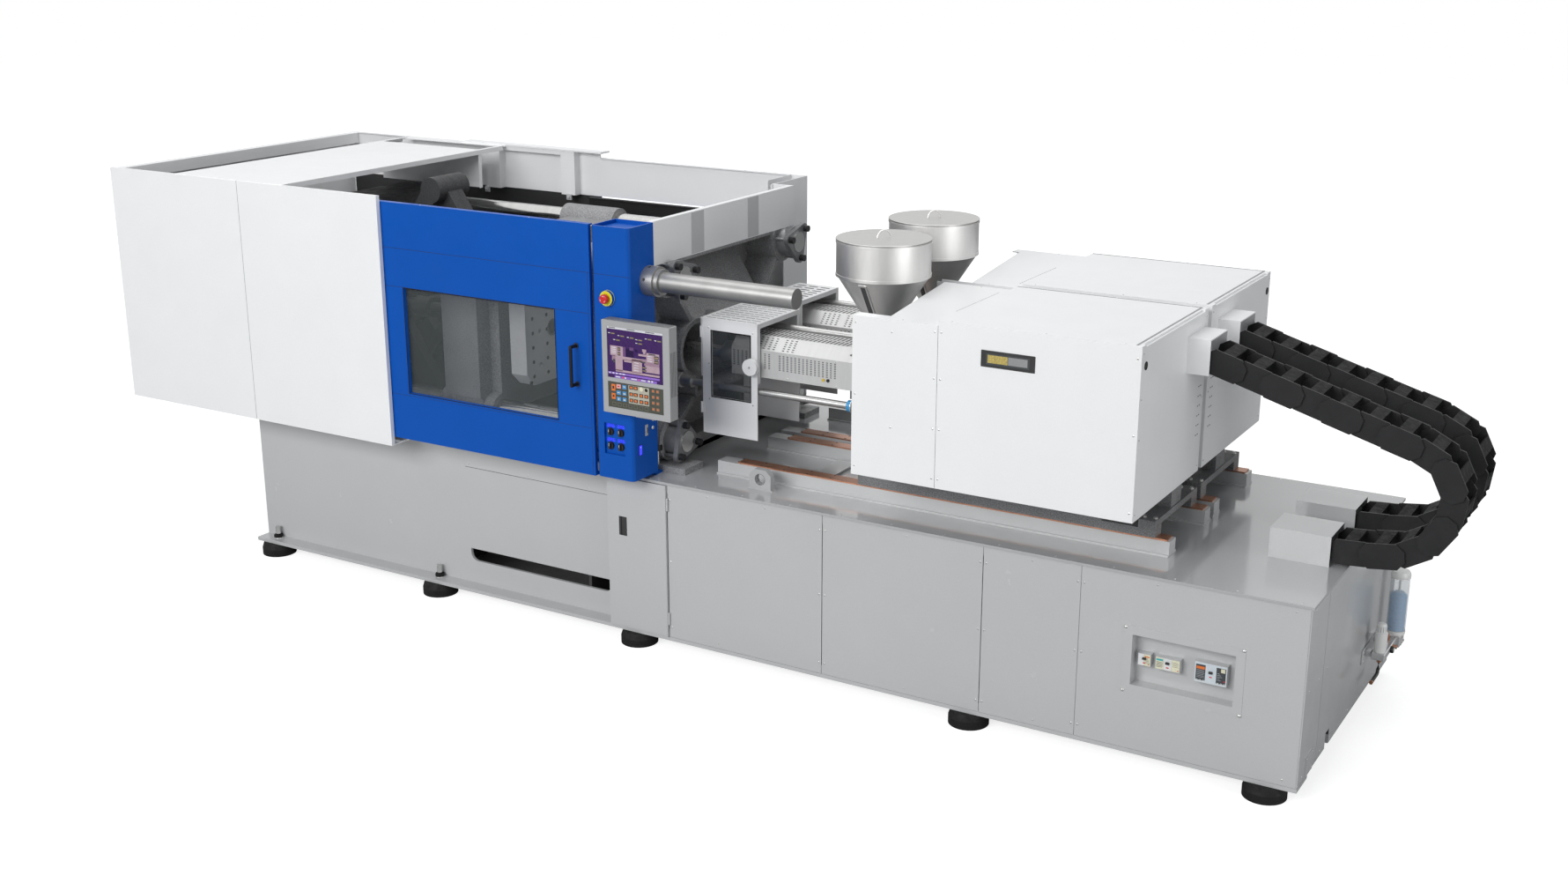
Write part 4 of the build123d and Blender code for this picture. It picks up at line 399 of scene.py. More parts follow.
class Shape:
    """Gathers solids, placed in the machine's millimetres, into one mesh."""

    def __init__(self):
        self.bm = bmesh.new()
        self.slots = []
        self.slot = 0

    def use(self, look):
        """The next solids get this material."""
        if look not in self.slots:
            self.slots.append(look)
        self.slot = self.slots.index(look)
        return self

    def add(self, verts, faces):
        made = [self.bm.verts.new(at(*v)) for v in verts]
        for face in faces:
            self.bm.faces.new([made[i] for i in face]).material_index = self.slot
        return self

    def skin(self, rings):
        """Closed surface over rings of equally many places, with flat ends."""
        n, m = len(rings[0]), len(rings)
        faces = [tuple(range(n)), tuple(range(m * n - 1, (m - 1) * n - 1, -1))]
        for s in range(m - 1):
            for i in range(n):
                j = (i + 1) % n
                faces.append((s * n + i, (s + 1) * n + i, (s + 1) * n + j, s * n + j))
        return self.add([v for ring in rings for v in ring], faces)

    def block(self, x, y, z, cut=0.0):
        """Box with its edges cut by a chamfer of the given width."""
        (x0, x1), (y0, y1), (z0, z1) = (tuple(sorted(v)) for v in (x, y, z))
        if not cut:
            v = [(a, b, c) for a in (x0, x1) for b in (y0, y1) for c in (z0, z1)]
            faces = [(0, 1, 3, 2), (4, 6, 7, 5), (0, 4, 5, 1), (2, 3, 7, 6), (0, 2, 6, 4), (1, 5, 7, 3)]
            return self.add(v, faces)
        cut = min(cut, (x1 - x0) / 2.01, (y1 - y0) / 2.01, (z1 - z0) / 2.01)
        corners = []
        for a, da in ((x0, cut), (x1, -cut)):
            for b, db in ((y0, cut), (y1, -cut)):
                for c, dc in ((z0, cut), (z1, -cut)):
                    corners += [(a, b + db, c + dc), (a + da, b, c + dc), (a + da, b + db, c)]
        return self.hull(corners)

    def hull(self, places):
        """Convex solid around the given places."""
        part = bmesh.new()
        for v in places:
            part.verts.new(at(*v))
        bmesh.ops.convex_hull(part, input=part.verts)
        bmesh.ops.delete(part, geom=[v for v in part.verts if not v.link_faces], context="VERTS")
        for face in part.faces:
            face.material_index = self.slot
        mesh = bpy.data.meshes.new("part")
        part.to_mesh(mesh)
        part.free()
        self.bm.from_mesh(mesh)
        bpy.data.meshes.remove(mesh)
        return self

    def rod(self, axis, span, across, radius, sides=20, end_radius=None, turn=0.0):
        """Round or many-sided bar, tapered where a second radius is given."""
        radii = (radius, radius if end_radius is None else end_radius)
        return self.skin([circle(axis, level, across, r, sides, turn) for level, r in zip(span, radii)])

    def lathe(self, axis, across, profile, sides=28):
        """Turned solid from (level, radius) pairs, closed at both ends."""
        return self.skin([circle(axis, level, across, r, sides) for level, r in profile])

    def ring(self, axis, span, across, outer, inner, sides=28):
        """Tube with flat ends."""
        verts = []
        for level in span:
            verts += circle(axis, level, across, outer, sides) + circle(axis, level, across, inner, sides)
        n = sides
        faces = []
        for i in range(n):
            j = (i + 1) % n
            faces += [(i, j, n + j, n + i), (2 * n + j, 2 * n + i, 3 * n + i, 3 * n + j)]
            faces += [(i, 2 * n + i, 2 * n + j, j), (n + j, 3 * n + j, 3 * n + i, n + i)]
        return self.add(verts, faces)

    def frame(self, axis, span, u, v, width):
        """Flat rectangular frame of a given width."""
        inner = (v[0] + width, v[1] - width)
        for a, b in ((u, (v[0], v[0] + width)), (u, (v[1] - width, v[1])),
                     ((u[0], u[0] + width), inner), ((u[1] - width, u[1]), inner)):
            spans = [a, b]
            spans.insert("xyz".index(axis), span)
            self.block(*spans)
        return self

    def tube(self, places, radius, sides=12):
        """Round bar through places, with mitred bends."""
        pts = [Vector(p) for p in places]
        rings = []
        for i, p in enumerate(pts):
            before = (p - pts[i - 1]).normalized() if i else (pts[1] - p).normalized()
            after = (pts[i + 1] - p).normalized() if i < len(pts) - 1 else before
            along = (before + after).normalized()
            side = along.cross(Vector((0, 0, 1)))
            if side.length < 0.1:
                side = along.cross(Vector((0, 1, 0)))
            side.normalize()
            up = side.cross(along).normalized()
            turns = [2 * math.pi * j / sides for j in range(sides)]
            rings.append([tuple(p + radius * (math.cos(a) * side + math.sin(a) * up)) for a in turns])
        return self.skin(rings)

    def done(self, name, body):
        """Makes the object and lets it ride on a body."""
        bmesh.ops.recalc_face_normals(self.bm, faces=self.bm.faces)
        mesh = bpy.data.meshes.new(name)
        self.bm.to_mesh(mesh)
        self.bm.free()
        for look in self.slots:
            mesh.materials.append(look)
        mesh.shade_smooth()
        mesh.set_sharp_from_angle(angle=math.radians(35.0))
        obj = bpy.data.objects.new(name, mesh)
        bpy.context.collection.objects.link(obj)
        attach(obj, body)
        return obj


# ------ small parts used many times
def screw(s, axis, level, out, across, radius, high):
    """Pan head with a dark drive hole, standing out of a surface along one axis."""
    tip = level + out * high
    s.use(ZINC).rod(axis, (level - out * 0.5, level + out * high * 0.45), across, radius, 14)
    s.rod(axis, (level + out * high * 0.45, tip), across, radius, 14, radius * 0.62)
    s.use(BLACK).rod(axis, (tip, tip + out * 0.15), across, radius * 0.34, 6)


def screws(s, axis, level, out, first, second, radius, high):
    """Screws wherever two lists of places in the surface's plane cross."""
    for a in first:
        for b in second:
            screw(s, axis, level, out, (a, b), radius, high)


def cap_bolt(s, axis, level, out, across, radius, high):
    """Socket-head cap screw."""
    s.use(OXIDE).rod(axis, (level - out * 0.5, level + out * high), across, radius, 18)
    s.use(BLACK).rod(axis, (level + out * high, level + out * (high + 0.2)), across, radius * 0.5, 6)


def hex_bolt(s, axis, level, out, across, radius, high):
    """Hexagon head over a washer."""
    s.use(ZINC).rod(axis, (level - out * 0.5, level + out * 1.6), across, radius * 1.25, 18)
    s.rod(axis, (level + out * 1.6, level + out * high), across, radius, 6, turn=0.3)


def marks(s, look, boxes, face, lift=0.4, deep=0.5):
    """Thin coloured fields on a face that looks to the front, each from its ranges in x and z."""
    s.use(look)
    for x, z in boxes:
        s.block(x, (face - lift, face + deep), z)


# ------ base: screws, strips and foot nuts
base = Shape()
for x in (-2108, -1346, -917, -2920):
    screws(base, "y", 0.0, -1, (x - 14, x + 14), (136, 458, 756), 4.2, 2.0)
screws(base, "y", 0.0, -1, (-2700, -2400, -1700, -1130, -600, -60), (806,), 3.6, 1.8)
screws(base, "y", 0.0, -1, (-60, -1100, -1700, -2650), (108,), 3.6, 1.8)
screws(base, "x", 0.0, 1, (60, 200, 320, 760, 1200, 1430), (110, 470, 806), 4.2, 2.0)
screws(base, "x", 4.0, 1, (108, 192), (96, 166), 3.4, 1.6)
base.use(ZINC)
for x in (-720, -244):
    for z in (336, 608):
        base.lathe("y", (x, z), [(-1.9, 7.5), (-4.5, 7.0), (-7.5, 4.6), (-8.6, 1.6)], 18)
# cover strip along the top of the left side wall
base.use(GREY).block((-4178, -3262), (71.5, 78.5), (693, 790), 1.5)
screws(base, "y", 71.5, -1, (-4150, -3780, -3420), (710,), 4.0, 2.0)
base.use(SHADOW).block((-4178, -3262), (77.0, 77.8), (689.5, 692.5))
# nuts and studs on the levelling feet
for x in (-5498, -4363, -3128, -1413, -135):
    for y in (52, 1428):
        base.use(ZINC).rod("z", (83, 86), (x, y), 24, 24)
        base.rod("z", (86, 100), (x, y), 19, 6)
        base.use(OXIDE).rod("z", (100, 138), (x, y), 12.6, 20)
        base.rod("z", (138, 144.5), (x, y), 12.6, 20, 9.0)
base.done("base_fasteners", "base")

# ------ table: screws and bolt holes of the rails
table = Shape()
screws(table, "z", TABLE_TOP, 1, range(-3020, -40, 248), (14, 1466), 4.2, 1.6)
table.use(SHADOW)
for y in BED_Y[0] + BED_Y[1]:
    for x in range(-2690, -740, 120):
        for side in (-22, 22):
            if x < -2100 or x > -820:
                table.rod("z", (908.0, 908.4), (x, y + side), 5.2, 16)
for y in (118, 1366):
    table.ring("y", (y - 0.4, y + 0.4), (-2496.5, 890), 26.4, 25.0)
table.done("table_fasteners", "base")

# ------ breakers in their recess
brk = Shape()
for look, lift, boxes in (
        (PALE, 0.4, [((-670, -646.5), (448, 496))]),
        (LABEL_CREAM, 0.4, [((-645.5, -620), (448, 496))]),
        (ORANGE, 0.7, [((-643.5, -623), (484, 489))]),
        (RED, 0.8, [((-629, -624.5), (452, 455.5))]),
        (LABEL_TEXT, 0.7, [((-642, -630 + 2 * k), (478 - 5 * k, 479.6 - 5 * k)) for k in range(5)]),
        (LABEL_CREAM, 0.4, [((-598, -566), (448, 496)), ((-532, -500.5), (448, 496))]),
        (PALE, 0.4, [((-565, -533), (448, 496))]),
        (TEAL, 0.7, [((-596, -568), (483, 491))]),
        (LABEL_TEXT, 0.7, [((-595, -571 + k % 2 * 3), (476 - 5 * k, 478 - 5 * k)) for k in range(5)]),
        (LABEL_TEXT, 0.7, [((-529, -506 + k % 2 * 4), (486 - 6 * k, 487.2 - 6 * k)) for k in range(4)]),
        (RED, 0.8, [((-508, -503.5), (452, 456))]),
        (PALE_BLUE, 0.4, [((-438, -310), (431, 513))]),
        (LABEL_DARK, 0.7, [((-434, -396), (438, 505)), ((-352, -314), (438, 505))]),
        (ORANGE, 1.0, [((-432, -398), (486, 497))]),
        (LABEL_CREAM, 1.0, [((-334, -317), (487, 503))]),
        (LABEL_GREY, 1.0, [((-430, -402 + k % 3 * 2), (480 - 6 * k, 482 - 6 * k)) for k in range(6)]),
        (LABEL_GREY, 1.0, [((-349, -338 + k % 3 * 5), (480 - 7 * k, 482 - 7 * k)) for k in range(5)]),
        (RED, 1.1, [((-322, -316), (449, 454))])):
    marks(brk, look, boxes, RECESS_FACE, lift)
brk.use(PALE)
for x in (-429, -415, -401, -345, -331, -318):
    brk.ring("y", (RECESS_FACE - 1.4, RECESS_FACE), (x, 437.5), 4.6, 3.0, 16)
brk.use(RED)
for x in (-645, -549, -374):
    brk.block((x - 5.5, x + 5.5), (RECESS_FACE - 0.9, RECESS_FACE + 0.4), (456.5, 461))
brk.done("breaker_labels", "base")

# ------ operator panel
SCREEN = ((-3092.0, -2796.0), (1354.0, 1584.0))
KEYPAD = ((-3092.0, -2796.0), (1219.0, 1336.0))


def fields(look, places, window, face, lift):
    """Fields in shares of a window, measured right and down from its upper left corner."""
    (x0, x1), (z0, z1) = window
    wide, high = x1 - x0, z1 - z0
    boxes = [((x0 + a * wide, x0 + c * wide), (z1 - d * high, z1 - b * high)) for a, b, c, d in places]
    marks(panel, look, boxes, face, lift, 0.1)


def on_screen(look, places, lift):
    fields(look, places, SCREEN, SCREEN_FACE, lift)


def on_keys(look, places, lift):
    fields(look, places, KEYPAD, KEYS_FACE, lift)


panel = Shape()
on_screen(SCREEN_NIGHT, [(0, 0, 1, 1)], 0.3)
on_screen(SCREEN_WHITE, [(0, 0, 1, 0.045)], 0.6)
on_screen(LABEL_TEXT, [(0.03 + 0.33 * k, 0.012, 0.15 + 0.35 * k, 0.03) for k in range(3)], 0.8)
for u, v in ((.02, .13), (.19, .16), (.36, .17), (.51, .19), (.51, .26), (.68, .15), (.85, .16), (.11, .25)):
    on_screen(SCREEN_WHITE, [(u, v - 0.006, u + 0.035, v + 0.008)], 0.6)
    on_screen(LABEL_DARK, [(u + 0.045, v - 0.014, u + 0.125, v + 0.022)], 0.6)
    on_screen(SCREEN_TAN, [(u + 0.055, v - 0.004, u + 0.115, v + 0.012)], 0.8)
on_screen(SCREEN_DEEP, [(.28, .40, .47, .55), (.50, .38, .54, .44)], 0.6)
on_screen(SCREEN_PLUM, [(.28, .37, .33, .57), (.40, .36, .47, .42)], 0.7)
on_screen(SCREEN_BEIGE, [
    (.05, .37, .28, .56), (.14, .56, .27, .85), (.27, .56, .62, .62), (.30, .61, .45, .66),
    (.44, .58, .62, .84), (.56, .46, .70, .50), (.63, .36, .70, .41), (.645, .41, .685, .45),
    (.70, .42, .93, .62), (.68, .66, .93, .80), (.14, .83, .93, .87)], 0.8)
on_screen(SCREEN_MAUVE, [(.66, .60, .93, .67), (.08, .57, .14, .66), (.62, .55, .70, .60)], 1.0)
on_screen(LABEL_DARK, [
    (.185, .39, .235, .46), (.185, .48, .235, .55), (.84, .46, .92, .53), (.84, .54, .92, .61),
    (.74, .43, .86, .45), (.60, .60, .68, .63), (.62, .70, .70, .735), (.62, .76, .70, .79),
    (.10, .63, .14, .70)], 1.1)
on_screen(SCREEN_TAN, [
    (.195, .41, .225, .44), (.195, .50, .225, .53), (.85, .48, .91, .51), (.85, .565, .91, .59),
    (.63, .712, .69, .725), (.63, .772, .69, .784)], 1.3)
on_screen(SCREEN_WHITE, [(.07, .40 + .035 * k, .15, .413 + .035 * k) for k in range(4)], 1.1)
on_screen(SCREEN_WHITE, [(.72, .475 + .045 * k, .80, .488 + .045 * k) for k in range(3)], 1.1)
on_screen(SCREEN_WHITE, [(.48, .64 + .05 * k, .56, .653 + .05 * k) for k in range(4)], 1.1)
on_screen(SCREEN_LILAC, [(0, .89, .93, .93), (.12, .95, .88, 1.0)], 0.6)
on_screen(SCREEN_WHITE, [(.02 + .06 * k, .90, .05 + .065 * k, .92) for k in range(5)] + [
    (.14, .963, .22, .985), (.30, .963, .33, .99), (.42, .963, .52, .985), (.60, .963, .68, .985),
    (.72, .95, .76, .985), (.78, .95, .81, .985)], 0.8)
on_screen(SCREEN_RED, [(.26, .96, .29, .99), (.54, .965, .565, .985)], 0.9)

on_keys(OLIVE, [(0, 0, 1, 1)], 0.3)
on_keys(ORANGE, [(.06, .10, .13, .36), (.06, .45, .13, .68)], 1.1)
on_keys(KEY_PINK, [(.15, .08, .23, .24)], 1.1)
on_keys(KEY_BLUE, [(.26, .08, .33, .24), (.15, .33, .23, .48), (.26, .33, .33, .48),
                   (.15, .57, .23, .72), (.26, .57, .33, .72)], 1.1)
on_keys(LABEL_CREAM, [(.275, .13, .315, .16), (.17, .39, .21, .42), (.275, .40, .315, .44),
                      (.18, .61, .20, .69), (.275, .64, .315, .68)], 1.4)
on_keys(RED, [(.17, .14, .21, .18)], 1.4)
on_keys(BLACK, [(.08, .17, .11, .28), (.08, .52, .11, .60)], 1.4)
on_keys(KEY_BEIGE, [(.37, .05, .74, .75)], 0.7)
for v in (.12, .38, .62):
    spots = [(.39, .45), (.47, .53)] + ([] if v < .2 else [(.57, .63), (.66, .72)])
    for a, b in spots:
        on_keys(BLACK, [(a - .005, v - .06, b + .005, v + .08)], 1.0)
        on_keys(ORANGE, [(a + .01, v - .03, b - .01, v + .05)], 1.5)
for v in (.12, .35, .58, .82):
    for a in (.79, .87):
        on_keys(KEY_TAN, [(a, v - .05, a + .05, v + .07)], 1.0)
        on_keys(ORANGE, [(a + .008, v - .01, a + .036, v + .03)], 1.4)
(left, right), (bottom, top) = KEYPAD
wide, high = right - left, top - bottom
for k in range(7):
    x0, z1 = left + (.07 + .098 * k) * wide, top - .80 * high
    panel.use(KEY_LINE).frame("y", (-188.9, -188.0), (x0, x0 + .065 * wide), (z1 - .13 * high, z1), 1.0)
for u, look in ((.60, LABEL_CREAM), (.69, OXIDE)):
    where = (left + u * wide, top - .14 * high)
    panel.use(look).lathe("y", where, [(-188.0, 8.6), (-189.2, 8.6), (-189.9, 7.4)], 22)
    panel.use(LABEL_CREAM).ring("y", (-189.4, -188.0), where, 10.2, 8.9, 22)
# feet under the panel, its top cap, the swivel behind it and the vents in its right side
panel.use(GREY_MATT).block((-3068, -3010), (-176, -140), (1186, 1192.5), 2)
panel.block((-2960, -2850), (-176, -140), (1184, 1192.5), 3)
panel.use(CASTING_DARK).block((-3112, -2768), (-186, -134), (1610.4, 1612.6), 0.8)
panel.block((-2990, -2900), (-133, -118), (1330, 1470), 4)
panel.use(SHADOW)
for k in range(0, 9, 2):
    panel.block((-2762.2, -2760.6), (-180 + 4.6 * k, -177.8 + 4.6 * k), (1300, 1500))
panel.done("operator_panel_face", "base")

# ------ control tower
tower = Shape()
tower.use(YELLOW).ring("y", (RING_FACE, -121.0), STOP_PLACE, 33.5, 12.3, 40)
tower.ring("y", (-121.5, -119.5), STOP_PLACE, 35.5, 12.3, 40)
marks(tower, LABEL_TEXT, [((-3146, -3140), (1656.5, 1658.5)), ((-3135, -3125), (1655.5, 1657.5)),
                          ((-3120, -3114), (1656.5, 1658.5))], RING_FACE)
# glowing legends over the selectors, and the selectors' rims
LEGEND = ((-20, -8, 22), (-4, 5, 27), (9, 21, 22), (-14, -9, 30), (11, 15, 30))
for kx, kz in SELECTORS:
    marks(tower, LED_BLUE, [((kx + a, kx + b), (kz + c, kz + c + 3.4)) for a, b, c in LEGEND], SELECTOR_FACE)
    marks(tower, LED_GLOW, [((kx - 23, kx + 23), (kz + 17, kz + 36))], SELECTOR_FACE, lift=0.2)
    tower.use(OXIDE).ring("y", (-110.0, -107.8), (kx, kz), 18.2, 15.4, 28)
# connector plate, cap and lit rocker on the right wall
wall = TOWER_WALL
tower.use(ZINC).block((wall - 0.5, wall + 2.4), (-26, -4), (1050, 1102), 1)
tower.use(GREY_MATT).block((wall + 2, wall + 6), (-21, -9), (1058, 1094), 2)
tower.use(OXIDE).block((wall + 5.6, wall + 6.4), (-18.6, -11.4), (1062, 1090))
screws(tower, "x", wall + 2.4, 1, (-15,), (1053.5, 1098.5), 2.6, 2.0)
tower.use(ZINC).rod("x", (wall - 0.5, wall + 4), (34, 1076), 9, 20, 7)
tower.rod("x", (wall - 0.5, wall + 3), (34, 1112), 6, 6)
tower.use(LED_BLUE).block((wall - 0.5, wall + 3.2), (-76, -56), (972, 1016), 1.4)
tower.use(PALE).rod("x", (wall + 3.1, wall + 3.6), (-66, 1008), 3.2, 16)
tower.use(OXIDE).frame("x", (wall - 0.5, wall + 1.4), (-79, -53), (969, 1019), 3.0)
# painted shade line along the fold of the housing
marks(tower, SHADE_LINE_BLUE, [((-3216, -3016), (1791.6, 1793.6))], DOOR_FACE, lift=0.25)
tower.done("tower_details", "base")

for k, (kx, kz) in enumerate(SELECTORS):
    knob = f"selector_knob_{k + 1}"
    s = Shape()
    s.use(PALE).block((kx - 1.1, kx + 1.1), (-127.5, -126.6), (kz + 1, kz + 13))
    s.block((kx - 4.3, kx - 3.8), (-126.0, -119.0), (kz + 2, kz + 13))
    s.done(knob + "_pointer", knob)

s = Shape().use(PALE)
for k in range(3):
    for lag in (-0.35, -0.2, -0.05, 0.1):
        a = math.radians(90 + 120 * k) + lag
        place = (STOP_PLACE[0] + 13.5 * math.cos(a), STOP_PLACE[1] + 13.5 * math.sin(a))
        s.rod("y", (-162.5, -161.6), place, 1.3, 8)
s.done("stop_button_arrows", "stop_button")

# ------ operator door and clamp guards
door = Shape()
# painted shade lines along the folds and steps of the door sheet
marks(door, SHADE_LINE_BLUE, [((-4498, -3230), (1792, 1794)), ((-4498, -3241), (1607, 1609)),
                        ((-3241.5, -3239.5), (856, 1792)), ((-4498, -3242), (1075.4, 1077.0))],
      DOOR_FACE, lift=0.3)
door.use(RUBBER).frame("y", (-121.2, -101.0), (-4333.5, -3428.5), (1086.5, 1607.5), 3.4)
door.use(BLACK)
for z in (1275, 1453):
    door.rod("y", (-123.5, -119.5), (-3314, z), 13, 22, 11)
screws(door, "z", DOOR_TOP, 1, (-4200, -3560), (-112,), 4, 1.6)
door.done("operator_door_details", "operator_door")

rear = Shape().use(GREY_MATT)
for x in (-5221, -4638):
    rear.block((x, x + 34), (1554, 1566), (1768, 1801), 3)
    rear.block((x + 8, x + 26), (1546, 1556), (1776, 1790), 2)
    rear.block((x + 4, x + 30), (1562, 1624), (1797, 1801), 0.5)
screws(rear, "z", DOOR_TOP, 1, (-4900, -4300, -3900, -3500), (1612,), 4, 1.6)
rear.done("rear_guard_hooks", "base")

seam = Shape().use(SEAM)
seam.block((-5368.2, -5365.8), (-146.4, -145.7), (813, 2036))
seam.block((-5368.0, -5366.0), (-146.2, -125), (2036.6, 2037.3))
seam.done("front_cover_seam", "base")

flange = Shape().use(WHITE)
flange.block((-5800, -5064), (1350, 1353), (1830, 2036))
flange.block((-5067, -5064), (1330, 1350), (1830, 2014))
flange.done("roof_rear_flange", "base")

strips = Shape().use(STRIP_GREY)
for y in ((372, 476), (857, 955)):
    strips.block((wall - 0.5, wall + 1.4), y, (1816, 2006))
strips.done("guard_wall_strips", "base")

# stud at the foot of the fixed platen, and the collar on the upper rear tie bar
stud = Shape()
stud.use(ZINC).rod("z", (868, 938), (-3062, 139), 7, 18)
stud.use(OXIDE).lathe("z", (-3062, 139), [(934, 20), (936, 22), (958, 22), (962, 19)], 30)
stud.use(GREY_DARK).ring("x", (-5198, -5180), (1248, 1738), 56, 52, 48)
stud.done("foot_stud", "base")

# ------ rotary table: tapped holes and bolts
face = TURNTABLE_FACE
s = Shape()
for y in range(300, 1190, 110):
    for z in range(1135, 1580, 72):
        if math.hypot(y - 740, z - CLAMP_AXIS) > 60:
            s.use(SHADOW).rod("x", (face - 0.3, face + 0.4), (y, z), 9, 18)
            s.use(MACHINED).ring("x", (face - 0.3, face + 0.5), (y, z), 10.5, 9.0, 18)
for y in UNIT_Y:
    s.use(SHADOW).rod("x", (face - 0.3, face + 0.4), (y, CLAMP_AXIS), 30, 30)
    s.use(MACHINED).ring("x", (face - 0.3, face + 0.9), (y, CLAMP_AXIS), 42, 30, 32)
for z in (1110, 1596):
    for y in (270, 1210):
        cap_bolt(s, "x", face, 1, (y, z), 9, 8)
s.done("turntable_bolt_grid", "rotary_table")

# ------ injection covers
for i, unit in enumerate(UNITS):
    s = Shape()
    y = COVER_Y[i]
    outer, out = (y[0], -1) if unit == "front" else (y[1], 1)
    s.use(SHADOW).block((-1534.8, -1533.4), (outer - 0.3, outer + 0.3), (1073, 1751))
    screws(s, "y", outer, out, (-1548, -1520), (1112, 1322, 1532, 1724), 4.0, 1.8)
    for x, heights in ((-1906, (1110, 1420, 1722)), (-1740, (1700, 1300)), (-704, (1110, 1420, 1722))):
        screws(s, "y", outer, out, (x,), heights, 4.0, 1.8)
    seam_y = ((180, 608), (822, 1244))[i]
    s.use(SHADOW).block((-1586.8, -1585.6), seam_y, (COVER_STEP - 0.3, COVER_STEP + 0.3))
    s.block((-1535, -1534), (y[0] + 2, y[1] - 2), (COVER_STEP + 0.2, COVER_STEP + 1.2))
    screws(s, "z", COVER_TOP, 1, (-1480, -1080, -760), (y[0] + 14, y[1] - 14), 4.0, 1.6)
    screws(s, "z", COVER_STEP, 1, (-1700,), (y[0] + 18, y[1] - 18), 4.0, 1.6)
    s.use(SEAM).block((-1532, -712), (y[1] - 18, y[1] - 8), (COVER_TOP - 0.3, COVER_TOP + 0.5))
    s.block((-720, -710), (y[0] + 14, y[1] - 14), (COVER_TOP - 0.3, COVER_TOP + 0.5))
    hole = ((-43, 1525)[i], 1687)
    s.use(BLACK).rod("x", (COVER_END - 0.6, COVER_END + 0.7), hole, 14, 28)
    s.use(RUBBER).ring("x", (COVER_END - 0.5, COVER_END + 2.2), hole, 16.5, 13.0, 30)
    s.use(SHADOW)
    for k in range(6):
        for m in range(2):
            y0 = (y[1] - 70, y[0] + 46)[i] + 22 * m
            s.block((COVER_END - 0.3, COVER_END + 0.4), (y0, y0 + 12), (1240 + 42 * k, 1244 + 42 * k))
    screws(s, "x", COVER_END, 1, (y[0] + 20, y[1] - 20), (1100, 1400, 1560, 1740), 4.0, 1.8)
    if unit == "front":
        s.use(BLACK).block((-1345, -1115), (-95.0, -91.0), (1610, 1678), 3)
        s.use(LABEL_DARK).block((-1322, -1138), (-95.5, -94.5), (1622, 1666), 0.3)
        s.use(DISPLAY_GOLD).block((-1315, -1230), (-96.0, -95.2), (1629, 1661), 0.2)
        s.use(GREY_DARK).block((-1228, -1146), (-96.0, -95.2), (1629, 1661), 0.2)
    s.done("injection_cover_details_" + unit, "carriage_" + unit)

# ------ carriages: bolts, nuts and guide parts
for i, unit in enumerate(UNITS):
    s = Shape()
    for bed in BED_Y[i]:
        for x, level in ((-2040, 988.3), (-1985, 988.3), (-1350, 1008.3), (-1290, 1008.3), (-975, 1008.3)):
            for side in (-18, 18):
                cap_bolt(s, "z", level, 1, (x, bed + side), 7, 7)
        for x in (-765, -718):
            hex_bolt(s, "z", 978.3, 1, (x, bed), 8, 8)
    for dy, dz in ((-130, -123), (130, 123)):
        place = (UNIT_Y[i] + dy, CLAMP_AXIS + dz)
        s.use(ACCENT_BLUE).ring("x", (-2163, -2140), place, 26, 16.4, 32)
        s.use(ZINC).ring("x", (-2143, -2137), place, 30, 16.4, 32)
    for k in range(6):
        a = math.radians(30 + 60 * k)
        place = (HOPPER_X[i] + 57 * math.cos(a), UNIT_Y[i] + 57 * math.sin(a))
        cap_bolt(s, "z", 1513.0, 1, place, 4.5, 5)
    s.done("carriage_bolts_" + unit, "carriage_" + unit)


# ------ hoppers: lids, sight slots and rolled rims
def cone_strip(s, x0, y0, half, z0, z1, lift, deep):
    """Plate along the front of a hopper's cone, from its half width, its height and its two depths."""
    length = math.hypot(1.0, HOPPER_SLOPE)
    out_y, out_z = -1.0 / length, -HOPPER_SLOPE / length
    places = []
    for z in (z0, z1):
        r = HOPPER_FOOT_RADIUS + (z - HOPPER_FOOT) * HOPPER_SLOPE
        for d in (lift, -deep):
            for side in (-1, 1):
                sag = r - math.sqrt(r * r - half * half) if d == -deep else 0.0
                places.append((x0 + side * half, y0 - r + out_y * d + sag, z + out_z * d))
    s.hull(places)


BAIL = 33.0  # radius of the handle on a lid
for i, unit in enumerate(UNITS):
    lid = "hopper_lid_" + unit
    x0, y0 = HOPPER_X[i], UNIT_Y[i]
    low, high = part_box(lid)
    rim, top = 1000 * low[2], 1000 * high[2] - 37.0
    s = Shape()
    s.use(LID_SHADED).lathe("z", (x0, y0), [(rim, 196), (rim, 203), (top - 4, 203), (top - 4, 210),
                                     (top - 1.2, 210), (top, 208.5)], 72)
    arch = [math.radians(15 * k) for k in range(13)]
    s.use(POLISHED).tube([(x0 - 0.56 * BAIL * math.cos(a), y0 - 0.83 * BAIL * math.cos(a),
                           top - 0.5 + BAIL * math.sin(a)) for a in arch], 3.5)
    dressed = s.done("lid_dressed_" + unit, lid)
    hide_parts(lid)
    s = Shape()
    s.use(POLISHED)
    cone_strip(s, x0, y0, 19, 1594, 1790, 2.6, 0.5)
    s.use(SHADOW)
    cone_strip(s, x0, y0, 11, 1602, 1782, 3.4, -1.5)
    s.use(POLISHED).ring("z", (1804, 1816), (x0, y0), 209.5, 205.0, 64)
    s.ring("z", (1950, 1958), (x0, y0), 209.8, 206.0, 64)
    s.ring("z", (1554, 1566), (x0, y0), 50.0, 45.0, 32)
    s.done("hopper_details_" + unit, "carriage_" + unit)

